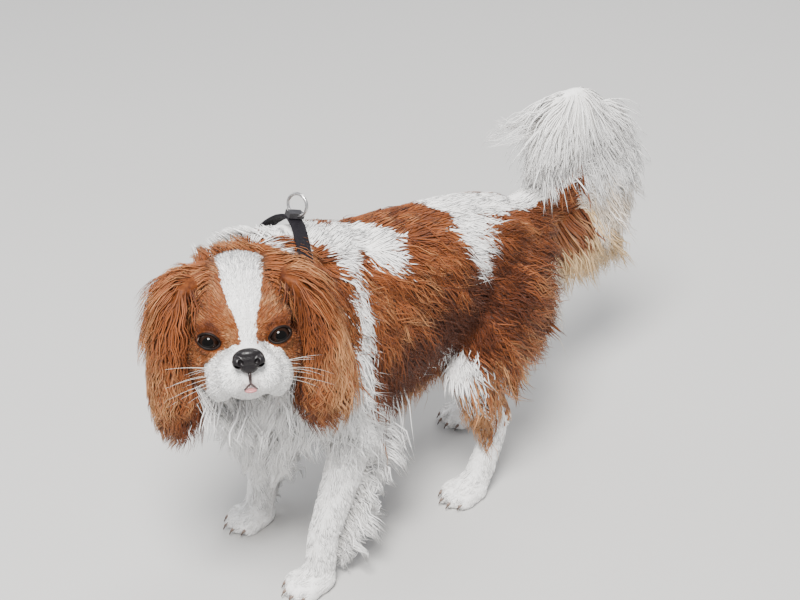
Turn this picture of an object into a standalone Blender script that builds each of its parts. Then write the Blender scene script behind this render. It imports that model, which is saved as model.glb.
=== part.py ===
"""A standing Cavalier King Charles spaniel, life size, as a still museum model.

Metres, +Z up. The body runs along Y with the nose towards -Y, and the dog's
left side is towards +X. The head is turned to the left and the tail is carried
up in a curl. The origin is under the middle of the whole model, on the floor.
"""

import math
import random
from typing import NamedTuple

import bmesh
import bpy
from mathutils import Matrix, Vector
from mathutils.bvhtree import BVHTree
from mathutils.kdtree import KDTree

GAP = 0.0003
TOUCH = 0.000002
DRAW_APART = 0.00003

# Driving sizes of the dog
WITHERS_HEIGHT = 0.328
CHEST_HALF_WIDTH = 0.064
LEG_SPREAD = 0.056
EYE_RADIUS = 0.0110
EYE_SPREAD = 0.0290
EYE_OPENING = (0.0096, 0.0072)
HEAD_PLACE = Vector((0.064, -0.203, 0.309))
HEAD_SCALE = 0.945
HEAD_YAW = math.radians(60)
HEAD_PITCH = math.radians(28)
HEAD_ROLL = math.radians(0)

# How fine the surfaces are
BODY_VOXEL = 0.0036
BODY_TRIANGLES = 1450
HEAD_VOXEL = 0.0024
HEAD_TRIANGLES = 1150
RING_POINTS = 16

# Locks of the long coat
ROOT_DEPTH = 0.0045
LOCK_STEPS = 4
LOCK_WIDTHS = (0.55, 1.0, 0.92, 0.60)
LOCK_DEPTHS = (0.80, 1.0, 0.85, 0.60)
FLOOR_CLEARANCE = 0.003
COAT_SEED = 11

# Colours of the coat and the trim, as linear values
WHITE_COAT = (0.86, 0.83, 0.78)
CHESTNUT_COAT = (0.32, 0.12, 0.045)
NOSE_BLACK = (0.018, 0.015, 0.016)
EYE_BROWN = (0.022, 0.012, 0.008)
TONGUE_PINK = (0.55, 0.24, 0.25)
STRAP_BLACK = (0.02, 0.02, 0.024)
RING_STEEL = (0.62, 0.62, 0.64)

HEAD_MATRIX = (
    Matrix.Translation(HEAD_PLACE)
    @ Matrix.Rotation(HEAD_YAW, 4, "Z")
    @ Matrix.Rotation(-HEAD_PITCH, 4, "X")
    @ Matrix.Rotation(HEAD_ROLL, 4, "Y")
    @ Matrix.Scale(HEAD_SCALE, 4)
)
HANG_MATRIX = (
    Matrix.Translation(HEAD_PLACE)
    @ Matrix.Rotation(HEAD_YAW, 4, "Z")
    @ Matrix.Scale(HEAD_SCALE, 4)
)
HEAD_CUT = HEAD_MATRIX @ Matrix.Rotation(math.radians(-27), 4, "X")
HEAD_CUT_AT = 0.067
NECK_CUT = Matrix.Translation((0, -0.104, 0.275)) @ Matrix.Rotation(math.radians(-32), 4, "X")


def clear_scene():
    """Removes whatever the scene holds at the start."""
    for obj in list(bpy.data.objects):
        bpy.data.objects.remove(obj)


def material(name, colour, roughness, metallic=0.0):
    """A Principled material of one colour."""
    made = bpy.data.materials.new(name)
    made.use_nodes = True
    shader = made.node_tree.nodes["Principled BSDF"]
    shader.inputs["Base Color"].default_value = (*colour, 1.0)
    shader.inputs["Roughness"].default_value = roughness
    shader.inputs["Metallic"].default_value = metallic
    return made


def object_of(name, mesh, finish=None, collection=None):
    """An object around a mesh, in the model's collection."""
    obj = bpy.data.objects.new(name, mesh)
    (collection or DOG).objects.link(obj)
    if finish:
        mesh.materials.clear()
        mesh.materials.append(finish)
    return obj


def mesh_of(bm, name):
    """Turns a bmesh into a mesh with its faces pointing out."""
    bmesh.ops.recalc_face_normals(bm, faces=bm.faces)
    mesh = bpy.data.meshes.new(name)
    bm.to_mesh(mesh)
    bm.free()
    return mesh


def ellipsoid(bm, centre, radii, turn=None, place=None, segments=20):
    """Adds an ellipsoid, turned about its centre by an Euler angle in degrees."""
    matrix = Matrix.Translation(centre)
    if turn:
        for axis, angle in zip("ZYX", (turn[2], turn[1], turn[0])):
            matrix = matrix @ Matrix.Rotation(math.radians(angle), 4, axis)
    matrix = matrix @ Matrix.Diagonal((*radii, 1))
    if place:
        matrix = place @ matrix
    bmesh.ops.create_uvsphere(
        bm, u_segments=segments, v_segments=segments // 2 + 2, radius=1, matrix=matrix
    )


def loft(bm, stations, side=Vector((1, 0, 0)), place=None, ring=RING_POINTS):
    """Adds a closed tube through stations of (centre, half width, half depth).

    The half width lies along side, as far as the tube's direction allows.
    """
    centres = [Vector(s[0]) for s in stations]
    rings = []
    for i, (_, wide, deep) in enumerate(stations):
        ahead = (centres[min(i + 1, len(centres) - 1)] - centres[max(i - 1, 0)]).normalized()
        across = (side - ahead * side.dot(ahead)).normalized()
        over = ahead.cross(across)
        points = []
        for k in range(ring):
            angle = 2 * math.pi * k / ring
            point = centres[i] + across * wide * math.cos(angle) + over * deep * math.sin(angle)
            points.append(bm.verts.new(place @ point if place else point))
        rings.append(points)
    for low, high in zip(rings, rings[1:]):
        for k in range(ring):
            bm.faces.new((low[k], low[(k + 1) % ring], high[(k + 1) % ring], high[k]))
    bm.faces.new(rings[0][::-1])
    bm.faces.new(rings[-1])


def evaluated_mesh(obj, name):
    """The mesh of an object with its modifiers applied."""
    bpy.context.view_layer.update()
    graph = bpy.context.evaluated_depsgraph_get()
    mesh = bpy.data.meshes.new_from_object(obj.evaluated_get(graph))
    mesh.name = name
    return mesh


def replace_mesh(obj):
    """Applies an object's modifiers."""
    mesh = evaluated_mesh(obj, obj.name)
    obj.modifiers.clear()
    obj.data = mesh
    return obj


def fused(name, bm, voxel, smoothing, triangles):
    """One smooth closed surface around all the forms in a bmesh."""
    obj = object_of(name, mesh_of(bm, name), collection=HELPERS)
    remesh = obj.modifiers.new("fuse", "REMESH")
    remesh.mode = "VOXEL"
    remesh.voxel_size = voxel
    smooth = obj.modifiers.new("soften", "SMOOTH")
    smooth.factor = 0.5
    smooth.iterations = smoothing
    replace_mesh(obj)
    reduce = obj.modifiers.new("reduce", "DECIMATE")
    reduce.ratio = min(1.0, triangles / (2 * len(obj.data.polygons)))
    reduce.use_collapse_triangulate = True
    return replace_mesh(obj)


def carve(obj, other, operation, solver="MANIFOLD"):
    """Applies one Boolean of obj with another closed mesh object."""
    cut = obj.modifiers.new("carve", "BOOLEAN")
    cut.operation = operation
    cut.solver = solver
    cut.object = other
    return replace_mesh(obj)


def keep_largest(obj):
    """Keeps the largest closed surface of a mesh."""
    bm = bmesh.new()
    bm.from_mesh(obj.data)
    left = set(bm.verts)
    shells = []
    while left:
        shell = {left.pop()}
        edge = list(shell)
        while edge:
            found = [e.other_vert(v) for v in edge for e in v.link_edges]
            edge = [v for v in set(found) if v not in shell]
            shell.update(edge)
        left -= shell
        shells.append(shell)
    largest = max(shells, key=len)
    loose = [v for shell in shells if shell is not largest for v in shell]
    bmesh.ops.delete(bm, geom=loose, context="VERTS")
    bm.to_mesh(obj.data)
    bm.free()
    return obj


def draw_apart(obj):
    """Moves apart, by a hair's breadth, the corners of an object's surface that share a place."""
    draw = random.Random(COAT_SEED)
    vertices = obj.data.vertices
    tree = KDTree(len(vertices))
    for vertex in vertices:
        tree.insert(vertex.co, vertex.index)
    tree.balance()
    touching = [v for v in vertices if len(tree.find_range(v.co, TOUCH)) > 1]
    for vertex in touching:
        sideways = Vector([draw.uniform(-1, 1) for _ in range(3)])
        vertex.co += (sideways - vertex.normal) * DRAW_APART


def copy_of(obj, name, collection=None):
    """A copy of an object with a mesh of its own."""
    return object_of(name, obj.data.copy(), collection=collection or HELPERS)


def block(name, corner_a, corner_b, place=None, grow=0.0):
    """A box between two corners, as a cutter."""
    low = Vector(map(min, corner_a, corner_b)) - Vector((grow,) * 3)
    high = Vector(map(max, corner_a, corner_b)) + Vector((grow,) * 3)
    bm = bmesh.new()
    matrix = Matrix.Translation((low + high) / 2) @ Matrix.Diagonal((*(high - low), 1))
    bmesh.ops.create_cube(bm, size=1, matrix=(place or Matrix.Identity(4)) @ matrix)
    return object_of(name, mesh_of(bm, name), collection=HELPERS)


def split(whole, name, boxes, place=None):
    """Parts whole with boxes: returns the piece inside them, and leaves whole with a thin gap."""
    piece = copy_of(whole, name, DOG)
    for obj, grow, operation in ((piece, -GAP / 2, "INTERSECT"), (whole, GAP / 2, "DIFFERENCE")):
        cutter = block("cutter", *boxes[0], place=place, grow=grow)
        for box in boxes[1:]:
            carve(cutter, block("cutter", *box, place=place, grow=grow), "UNION")
        keep_largest(carve(obj, cutter, operation))
    return piece


def grown(obj, distance):
    """A helper copy of an object, pushed out along its normals."""
    made = copy_of(obj, "grown")
    push = made.modifiers.new("push", "DISPLACE")
    push.strength = distance
    push.mid_level = 0
    return replace_mesh(made)


def clear_of(obj, neighbour, gap=GAP):
    """Cuts obj clear of a neighbour by the gap."""
    return keep_largest(carve(obj, grown(neighbour, gap * 1.3), "DIFFERENCE"))


# Forms of the trunk, each a station of centre, half width and half depth
TRUNK = (
    ((0, -0.163, 0.228), 0.028, 0.040),
    ((0, -0.134, 0.232), 0.050, 0.070),
    ((0, -0.085, 0.240), CHEST_HALF_WIDTH, WITHERS_HEIGHT - 0.240),
    ((0, -0.030, 0.241), 0.066, 0.085),
    ((0, 0.030, 0.243), 0.061, 0.076),
    ((0, 0.080, 0.245), 0.057, 0.066),
    ((0, 0.125, 0.240), 0.054, 0.057),
    ((0, 0.152, 0.234), 0.045, 0.046),
    ((0, 0.168, 0.230), 0.026, 0.028),
)
NECK = (
    ((0, -0.060, 0.248), 0.060, 0.074),
    ((0.000, -0.095, 0.278), 0.054, 0.068),
    ((0.002, -0.128, 0.295), 0.050, 0.059),
    ((0.014, -0.158, 0.304), 0.045, 0.049),
)
TAIL = (
    ((0, 0.135, 0.262), 0.022, 0.022),
    ((0, 0.172, 0.271), 0.018, 0.018),
    ((0, 0.212, 0.276), 0.015, 0.015),
    ((0, 0.240, 0.290), 0.013, 0.013),
    ((0, 0.252, 0.318), 0.011, 0.011),
    ((0, 0.247, 0.348), 0.009, 0.009),
    ((0, 0.228, 0.368), 0.007, 0.007),
)


def front_leg(bm, side, paw_y):
    """Shoulder, arm, wrist and paw on one side: side is 1 for the left."""
    x = side * LEG_SPREAD
    ellipsoid(bm, (side * 0.048, -0.094, 0.208), (0.026, 0.042, 0.060), turn=(20, 0, 0))
    loft(
        bm,
        (
            ((x - side * 0.006, -0.088, 0.200), 0.024, 0.030),
            ((x, -0.084, 0.160), 0.020, 0.024),
            ((x, (paw_y - 0.084) / 2 + 0.004, 0.105), 0.017, 0.019),
            ((x, paw_y + 0.010, 0.055), 0.0150, 0.0160),
            ((x, paw_y + 0.006, 0.026), 0.0150, 0.0160),
            ((x, paw_y + 0.002, 0.010), 0.0160, 0.0170),
        ),
    )
    paw(bm, x, paw_y)


def hind_leg(bm, side, paw_y):
    """Thigh, knee, hock and paw on one side."""
    x = side * (LEG_SPREAD - 0.006)
    swing = paw_y - 0.105
    ellipsoid(bm, (side * 0.044, 0.108 + swing * 0.2, 0.200), (0.028, 0.052, 0.066), turn=(-14, 0, 0))
    loft(
        bm,
        (
            ((x, 0.100 + swing * 0.2, 0.195), 0.027, 0.040),
            ((x, 0.074 + swing * 0.35, 0.152), 0.023, 0.030),
            ((x, 0.104 + swing * 0.65, 0.116), 0.0180, 0.0220),
            ((x, paw_y + 0.034, 0.084), 0.0145, 0.0165),
            ((x, paw_y + 0.024, 0.048), 0.0135, 0.0140),
            ((x, paw_y + 0.012, 0.022), 0.0150, 0.0150),
            ((x, paw_y + 0.004, 0.010), 0.0160, 0.0160),
        ),
    )
    paw(bm, x, paw_y)


def paw(bm, x, y):
    """A foot of four toes around a pad, reaching a little under the floor."""
    ellipsoid(bm, (x, y - 0.004, 0.008), (0.0200, 0.0250, 0.0170))
    for k, across in enumerate((-0.0135, -0.0048, 0.0048, 0.0135)):
        ahead = 0.021 if k in (1, 2) else 0.015
        ellipsoid(bm, (x + across, y - ahead, 0.0075), (0.0072, 0.0125, 0.0110))


def head_forms(bm):
    """The skull, cheeks, brow, muzzle, lips and jaw, in the head's own frame."""
    def form(centre, radii, turn=None):
        for side in (1, -1) if centre[0] else (1,):
            spin = (turn[0], turn[1] * side, turn[2] * side) if turn else None
            ellipsoid(bm, (centre[0] * side, *centre[1:]), radii, spin, HEAD_MATRIX)

    form((0, 0.046, 0.022), (0.049, 0.058, 0.045))
    form((0, 0.012, 0.018), (0.040, 0.030, 0.032))
    form((0.022, 0.006, 0.014), (0.021, 0.018, 0.018))
    form((0.028, 0.030, -0.016), (0.024, 0.034, 0.030))
    form((0, -0.014, -0.010), (0.017, 0.030, 0.014), (12, 0, 0))
    form((0, -0.018, -0.024), (0.027, 0.026, 0.021))
    form((0.0135, -0.026, -0.028), (0.0165, 0.0170, 0.0185))
    form((0.024, -0.006, -0.030), (0.016, 0.024, 0.020))
    form((0, -0.014, -0.046), (0.018, 0.024, 0.0095))
    form((0, 0.016, -0.042), (0.026, 0.034, 0.020))
    form((EYE_SPREAD, 0.0012, 0), (EYE_RADIUS + 0.0022,) * 3)


def ball(name, centre, radii, finish=None, segments=16, turn=None, collection=None):
    """A separate ellipsoid placed in the head's frame."""
    bm = bmesh.new()
    ellipsoid(bm, centre, radii, turn, HEAD_MATRIX, segments)
    return object_of(name, mesh_of(bm, name), finish, collection or HELPERS)


def tube(name, points, radius):
    """A closed tube through points of the head's frame, as a cutter."""
    bm = bmesh.new()
    loft(bm, [(p, radius, radius) for p in points], Vector((0, 0, 1)), HEAD_MATRIX, 8)
    return object_of(name, mesh_of(bm, name), collection=HELPERS)


def lip_line(side):
    """Points along the mouth from under the nose to the corner, on one side."""
    return (
        (side * -0.001, -0.0445, -0.0345),
        (side * 0.006, -0.0440, -0.0390),
        (side * 0.014, -0.0400, -0.0440),
        (side * 0.023, -0.0290, -0.0475),
        (side * 0.031, -0.0140, -0.0460),
        (side * 0.036, 0.0000, -0.0420),
    )


def make_head(finish):
    """The head with its lids, nostril seats, mouth line and eye sockets."""
    bm = bmesh.new()
    head_forms(bm)
    loft(bm, NECK)
    head = fused("head", bm, HEAD_VOXEL, 5, HEAD_TRIANGLES)
    for side in (1, -1):
        opening = ball(
            "cutter",
            (side * (EYE_SPREAD + 0.0015), -EYE_RADIUS, 0.0002),
            (EYE_OPENING[0], 0.0085, EYE_OPENING[1]),
            turn=(0, -8 * side, -14 * side), segments=14,
        )
        carve(head, opening, "DIFFERENCE")
        socket = ball("cutter", (side * EYE_SPREAD, 0, 0), (EYE_RADIUS + GAP,) * 3, segments=16)
        carve(head, socket, "DIFFERENCE")
        carve(head, tube("cutter", lip_line(side), 0.0011), "DIFFERENCE")
    carve(head, tube("cutter", ((0, -0.0505, -0.020), (0, -0.0455, -0.036)), 0.0009), "DIFFERENCE")
    return head


def make_eyes(finish):
    """Both eyeballs."""
    for side, word in ((1, "left"), (-1, "right")):
        ball(
            f"eye_{word}", (side * EYE_SPREAD, 0, 0), (EYE_RADIUS,) * 3, finish, 12, collection=DOG
        )


NOSE_CENTRE = (0, -0.0445, -0.0130)
NOSE_RADII = (0.0125, 0.0080, 0.0092)


def make_nose(head, finish):
    """The nose leather with its two nostrils, seated in the muzzle."""
    nose = ball("nose", NOSE_CENTRE, NOSE_RADII, finish, 12, collection=DOG)
    carve(nose, ball("cutter", (0, -0.0475, -0.0225), (0.0065, 0.0060, 0.0060), segments=8), "UNION")
    for side in (1, -1):
        hole = ball(
            "cutter", (side * 0.0064, -0.0525, -0.0150), (0.0028, 0.0042, 0.0036),
            segments=8, turn=(0, 30 * side, 0),
        )
        carve(nose, hole, "DIFFERENCE")
        slit = ball("cutter", (side * 0.0105, -0.0485, -0.0175), (0.0036, 0.0040, 0.0012), segments=6)
        carve(nose, slit, "DIFFERENCE")
    keep_largest(nose)
    clear_of(head, nose)
    nose.data.materials.clear()
    nose.data.materials.append(finish)
    return nose


def make_tongue(head, finish):
    """The tip of the tongue between the lips."""
    tongue = ball("tongue", (0, -0.0405, -0.0400), (0.0062, 0.0062, 0.0026), finish, 12, collection=DOG)
    clear_of(head, tongue)
    return tongue


EAR = (
    ((0.034, 0.052, 0.038), 0.008, 0.016),
    ((0.048, 0.049, 0.037), 0.008, 0.024),
    ((0.060, 0.045, 0.020), 0.010, 0.029),
    ((0.066, 0.040, -0.008), 0.012, 0.031),
    ((0.067, 0.036, -0.040), 0.013, 0.029),
    ((0.066, 0.034, -0.064), 0.011, 0.022),
    ((0.065, 0.033, -0.078), 0.006, 0.012),
)


def ear_patches(side):
    """The feathering of one ear: tiers of locks round it, which hang to one level."""
    tiers = (
        (0.020, 4, 0.062, 0.008), (-0.016, 4, 0.062, 0.010), (-0.048, 4, 0.066, 0.006),
    )
    patches = []
    for height, count, length, lift in tiers:
        line = [HANG_MATRIX @ Vector((side * 0.064, 0.012, height)),
                HANG_MATRIX @ Vector((side * 0.062, 0.064, height))]
        spin = HANG_MATRIX.to_3x3().normalized()
        out = spin @ Vector((side, 0, 0.1))
        flow = spin @ Vector((side * 0.25, -0.02, -1))
        patches.append(
            Patch(line, (out, out), (flow, flow), 1, count, length, 0.023, 0.0052, lift, 0.5, 0.003)
        )
    return patches


def ear_room(side, grow):
    """The room that one ear hangs in, with its locks: what is behind it stays out of this."""
    stations = [((c[0] + 0.013, *c[1:]), wide + 0.017, deep + 0.012) for c, wide, deep in EAR]
    low_x, low_y, low_z = EAR[-1][0]
    stations[0] = ((*EAR[0][0][:2], EAR[0][0][2] + 0.010), 0.025, 0.028)
    stations[-1] = ((low_x + 0.013, low_y, low_z), 0.028, 0.032)
    stations.append(((low_x + 0.013, low_y, low_z - 0.050), 0.024, 0.028))
    bm = bmesh.new()
    rings = [((c[0] * side, *c[1:]), wide + grow, deep + grow) for c, wide, deep in stations]
    loft(bm, rings, Vector((1, 0, 0)), HANG_MATRIX)
    return object_of("room", mesh_of(bm, "room"), collection=HELPERS)


def make_ear(head, side, finish):
    """A hanging ear with its feathering, folded over at its root on the skull."""
    word = "left" if side > 0 else "right"
    bm = bmesh.new()
    stations = [((c[0] * side, c[1], c[2]), wide, thick) for c, wide, thick in EAR]
    loft(bm, stations, Vector((1, 0, 0)), HANG_MATRIX, 12)
    ear = object_of(f"ear_{word}", mesh_of(bm, "ear"), finish)
    comb(tree_of(ear), ear_patches(side), random.Random(COAT_SEED + side))
    fuse_locks(ear)
    keep_largest(carve(ear, ear_room(side, -GAP / 2), "INTERSECT"))
    return clear_of(ear, head)


class Patch(NamedTuple):
    """A field of locks: where its roots lie, which way they run and how large they are.

    The roots are found from a line inside the body, by looking outwards from it. Out and
    flow each hold the direction of the first and of the last row, and turn is added to the
    flow along the line. Lift is how far the tips stand off the body, and fall is how much the
    hair's own weight turns it down.
    """

    line: tuple
    out: tuple
    flow: tuple
    rows: int
    columns: int
    length: float
    width: float
    depth: float = 0.0045
    lift: float = 0.004
    fall: float = 0.3
    wave: float = 0.0015
    turn: tuple = (0, 0, 0)
    grow: float = 1.0


def between(pair, share):
    """The point a share of the way from the first to the last of a pair."""
    return Vector(pair[0]).lerp(Vector(pair[1]), share)


def mirrored(patch):
    """The same patch on the dog's right side."""
    flip = [tuple((-v[0], v[1], v[2]) for v in pair) for pair in patch[:3]]
    turn = (-patch.turn[0], *patch.turn[1:])
    return Patch(*flip, *patch[3:])._replace(turn=turn)


def lock_path(tree, root, normal, flow, patch, length, draw):
    """The centres and the outward directions along one lock, which bends over the body."""
    phase = draw.uniform(0, 2 * math.pi)
    heading = (flow - normal * flow.dot(normal) * 0.8).normalized()
    path = [(root - normal * ROOT_DEPTH, normal)]
    place = root
    for k in range(1, LOCK_STEPS + 1):
        share = k / LOCK_STEPS
        side = heading.cross(normal).normalized()
        place = place + heading * (length / LOCK_STEPS) + side * patch.wave * math.sin(phase + 5 * share)
        near, facing, _, _ = tree.find_nearest(place)
        height = (place - near).dot(facing)
        wanted = patch.depth * 0.35 + patch.lift * share
        if height < wanted:
            place = place + facing * (wanted - height)
            heading -= facing * min(0.0, heading.dot(facing))
            normal = facing
        place.z = max(place.z, FLOOR_CLEARANCE + patch.depth * (1 - share))
        heading = (heading + Vector((0, 0, -patch.fall / LOCK_STEPS))).normalized()
        normal = (normal - heading * normal.dot(heading)).normalized()
        path.append((place, normal))
    return path


def lock_mesh(path, width, depth):
    """A closed flat vane along a path, with a low ridge on its outer face, tapering to its tip."""
    bm = bmesh.new()
    rings = []
    for k, (centre, normal) in enumerate(path[:-1]):
        ahead = (path[k + 1][0] - path[max(k - 1, 0)][0]).normalized()
        side = ahead.cross(normal).normalized()
        over = side.cross(ahead)
        half = side * width / 2 * LOCK_WIDTHS[k]
        thick = over * depth / 2 * LOCK_DEPTHS[k]
        corners = (centre + half - thick * 0.4, centre + thick, centre - half - thick * 0.4)
        rings.append([bm.verts.new(corner) for corner in corners])
    for low, high in zip(rings, rings[1:]):
        for a, b in ((0, 1), (2, 1), (0, 2)):
            bm.faces.new((low[a], high[a], high[b]))
            bm.faces.new((low[a], high[b], low[b]))
    tip = bm.verts.new(path[-1][0])
    for k in range(3):
        bm.faces.new((rings[-1][k], rings[-1][(k + 1) % 3], tip))
    bm.faces.new(rings[0])
    return mesh_of(bm, "lock")


def comb(tree, patches, draw):
    """Grows the locks of all the patches, each as an object of its own in the locks' collection."""
    for patch in patches:
        for row in range(patch.rows):
            for column in range(patch.columns):
                u = (column + 0.5 * (row % 2) + draw.uniform(-0.12, 0.12) + 0.25) / patch.columns
                v = row / max(1, patch.rows - 1)
                start = between(patch.line, u)
                out = between(patch.out, v).normalized()
                root, normal, _, _ = tree.ray_cast(start + out * 0.15, -out, 0.15)
                if root is None:
                    continue
                flow = (between(patch.flow, v) + Vector(patch.turn) * u).normalized()
                length = patch.length * (1 + (patch.grow - 1) * u) * draw.uniform(0.88, 1.12)
                path = lock_path(tree, root, normal, flow, patch, length, draw)
                mesh = lock_mesh(path, patch.width * draw.uniform(0.85, 1.15), patch.depth)
                object_of("lock", mesh, collection=LOCKS)


def fuse_locks(obj):
    """Joins every lock to its node by one Boolean union, and removes the loose ones."""
    join = obj.modifiers.new("join", "BOOLEAN")
    join.operation = "UNION"
    join.solver = "MANIFOLD"
    join.operand_type = "COLLECTION"
    join.collection = LOCKS
    replace_mesh(obj)
    for lock in list(LOCKS.objects):
        bpy.data.objects.remove(lock)
    return keep_largest(obj)


def tree_of(obj):
    """A search tree over an object's surface."""
    bm = bmesh.new()
    bm.from_mesh(obj.data)
    tree = BVHTree.FromBMesh(bm)
    bm.free()
    return tree


FLANK = Patch(
    line=((0, -0.105, 0.240), (0, 0.130, 0.238)),
    out=((0.42, 0, 0.90), (0.80, 0, -0.60)),
    flow=((0.25, 0.95, -0.25), (0, 0.35, -0.93)),
    rows=4, columns=4, length=0.074, width=0.046, depth=0.0060, lift=0.007, fall=0.25,
)
BACK = Patch(
    line=((0, -0.092, 0.250), (0, 0.128, 0.250)), out=((0, 0, 1), (0, 0, 1)),
    flow=((0, 1, 0), (0, 1, 0)), rows=1, columns=4, length=0.066, width=0.040, depth=0.006,
)
BELLY = Patch(
    line=((0, -0.035, 0.215), (0, 0.035, 0.215)), out=((0.6, 0, -1), (0.6, 0, -1)),
    flow=((0.1, 0.3, -1), (0.1, 0.3, -1)), rows=1, columns=4, length=0.044, width=0.026, fall=1.0,
)
BIB = Patch(
    line=((0, -0.125, 0.258), (0, -0.125, 0.200)), out=((0.95, -0.30, 0), (0.25, -1, 0)),
    flow=((0.25, -0.1, -1), (0.05, -0.20, -1)), rows=3, columns=2, length=0.082, width=0.032,
    lift=0.012, fall=0.5,
)
NAPE = Patch(
    line=((-0.012, -0.152, 0.298), (0.004, -0.136, 0.300)), out=((-1, -0.15, 0.25), (-0.1, -0.1, 1)),
    flow=((-0.5, 0, 0.8), (-0.3, -0.3, 0.9)), rows=3, columns=2, length=0.042, width=0.026,
    lift=0.022, fall=0.0,
)
RUMP = Patch(
    line=((0.030, 0.120, 0.250), (0.040, 0.120, 0.170)), out=((0.8, 0.6, 0), (0.1, 1, 0)),
    flow=((0.1, 0.35, -1), (0, 0.35, -1)), rows=2, columns=3, length=0.058, width=0.032,
    lift=0.012, fall=0.5,
)
THIGH = Patch(
    line=((0.030, 0.080, 0.180), (0.030, 0.120, 0.180)), out=((1, 0, 0), (1, 0, 0)),
    flow=((0, 0.55, -0.8), (0, 0.55, -0.8)), rows=1, columns=2, length=0.045, width=0.028,
)
NECK_SIDE = Patch(
    line=((0, -0.072, 0.285), (0, -0.095, 0.240)), out=((0.75, -0.1, 0.65), (1, -0.35, -0.1)),
    flow=((0.2, 0.8, -0.6), (0, 0.35, -0.95)), rows=2, columns=2, length=0.056, width=0.036,
)


def feather(x, top_y, low_y, side):
    """The fringe down the back of a foreleg."""
    return Patch(
        line=((x, top_y, 0.165), (x, low_y, 0.055)),
        out=((side * 0.6, 1, 0), (-side * 0.5, 1, 0)),
        flow=((side * 0.25, 0.75, -0.7), (0, 0.8, -0.7)),
        rows=2, columns=4, length=0.042, width=0.024, depth=0.0042, lift=0.004, fall=0.5,
    )


def tail_patches():
    """The plume: a fan that hangs under and behind the bend, and a curl over the top."""
    def fan(line, out, flow, turn, columns, length, grow, **more):
        pairs = [tuple((side * d[0], *d[1:]) for side in (1, -1)) for d in (out, flow)]
        return Patch(
            line, *pairs, 2, columns, length, 0.026, 0.0045, turn=turn, grow=grow, **more
        )

    return (
        fan(((0, 0.180, 0.273), (0, 0.240, 0.285)), (0.55, 0.1, -1), (0.10, 0.12, -1),
            (0, 0.42, 0), 4, 0.086, 1.45, lift=0.004, fall=0.1),
        fan(((0, 0.236, 0.288), (0, 0.250, 0.335)), (0.5, 1, -0.1), (0.10, 0.75, -0.8),
            (0, 0.6, 0.75), 5, 0.120, 0.68, lift=0.004, fall=0.45),
        fan(((0, 0.251, 0.340), (0, 0.236, 0.366)), (0.5, 0.8, 0.5), (0.10, 1, 0.15),
            (0, -0.3, 0.3), 2, 0.068, 0.8, lift=0.006, fall=1.2),
        fan(((0, 0.243, 0.350), (0, 0.222, 0.371)), (0.6, -0.6, 0.6), (0.12, -0.9, 0.05),
            (0, 0, 0.2), 3, 0.115, 1.0, lift=0.008, fall=2.0),
    )


def body_patches():
    """Every patch of locks on the trunk, the neck, the legs and the tail."""
    paired = (FLANK, BELLY, BIB, RUMP, THIGH, NECK_SIDE)
    both = [side for patch in paired for side in (patch, mirrored(patch))]
    legs = (
        feather(LEG_SPREAD, -0.086, -0.124, 1),
        feather(-LEG_SPREAD, -0.086, -0.112, -1),
    )
    return [*both, BACK, NAPE, *legs, *tail_patches()]


def flatten(obj):
    """Cuts off what lies below the floor, which leaves each foot a flat sole."""
    floor = block("cutter", (-1, -1, -1), (1, 1, 0))
    return carve(obj, floor, "DIFFERENCE")


COLLAR_CENTRE = Vector((0.000, -0.127, 0.2945))
COLLAR_FACING = Vector((-0.20, -0.93, 0.30)).normalized()
STRAP_WIDTH = 0.013
STRAP_THICKNESS = 0.0024
STRAP_STEPS = 40
STRAP_LIFT = 0.007
RING_RADIUS = 0.0095
RING_WIRE = 0.0014


def collar_axes():
    """The collar's sideways, upwards and facing directions."""
    up = (Vector((0, 0, 1)) - COLLAR_FACING * COLLAR_FACING.z).normalized()
    return up.cross(COLLAR_FACING), up, COLLAR_FACING


def strap_radii():
    """How far the strap's inside lies from the collar's centre, at each step round the neck."""
    side, up, facing = collar_axes()
    bm = bmesh.new()
    loft(bm, TRUNK, ring=32)
    loft(bm, NECK, ring=32)
    tree = BVHTree.FromBMesh(bm)
    bm.free()
    reach = []
    for k in range(STRAP_STEPS):
        angle = 2 * math.pi * k / STRAP_STEPS
        out = side * math.cos(angle) + up * math.sin(angle)
        edges = (COLLAR_CENTRE + facing * STRAP_WIDTH * share for share in (-0.5, 0, 0.5))
        hits = [tree.ray_cast(edge + out * 0.12, -out)[0] for edge in edges]
        reach.append(max((hit - COLLAR_CENTRE).dot(out) for hit in hits if hit))
    count = len(reach)
    wide = [max(reach[(k + d) % count] for d in (-1, 0, 1)) for k in range(count)]
    slack = [STRAP_LIFT * max(0.0, math.sin(2 * math.pi * k / count)) ** 16 for k in range(count)]
    return [
        sum(wide[(k + d) % count] for d in (-1, 0, 1)) / 3 + GAP + slack[k] for k in range(count)
    ]


def strap_point(radii, step, out=0.0, along=0.0):
    """A point on the strap: step round the neck, out from its inside, along its width."""
    side, up, facing = collar_axes()
    angle = 2 * math.pi * step / STRAP_STEPS
    low = int(math.floor(step)) % STRAP_STEPS
    share = step - math.floor(step)
    radius = radii[low] * (1 - share) + radii[(low + 1) % STRAP_STEPS] * share + out
    return COLLAR_CENTRE + (side * math.cos(angle) + up * math.sin(angle)) * radius + facing * along


def strap_place(radii, step):
    """A place on the strap's outside: local X runs round it, Y across it and Z outwards."""
    centre = strap_point(radii, step, STRAP_THICKNESS)
    around = strap_point(radii, step + 1) - strap_point(radii, step - 1)
    around.normalize()
    facing = COLLAR_FACING
    outward = around.cross(facing)
    return Matrix(
        (
            (around.x, facing.x, outward.x, centre.x),
            (around.y, facing.y, outward.y, centre.y),
            (around.z, facing.z, outward.z, centre.z),
            (0, 0, 0, 1),
        )
    )


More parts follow.
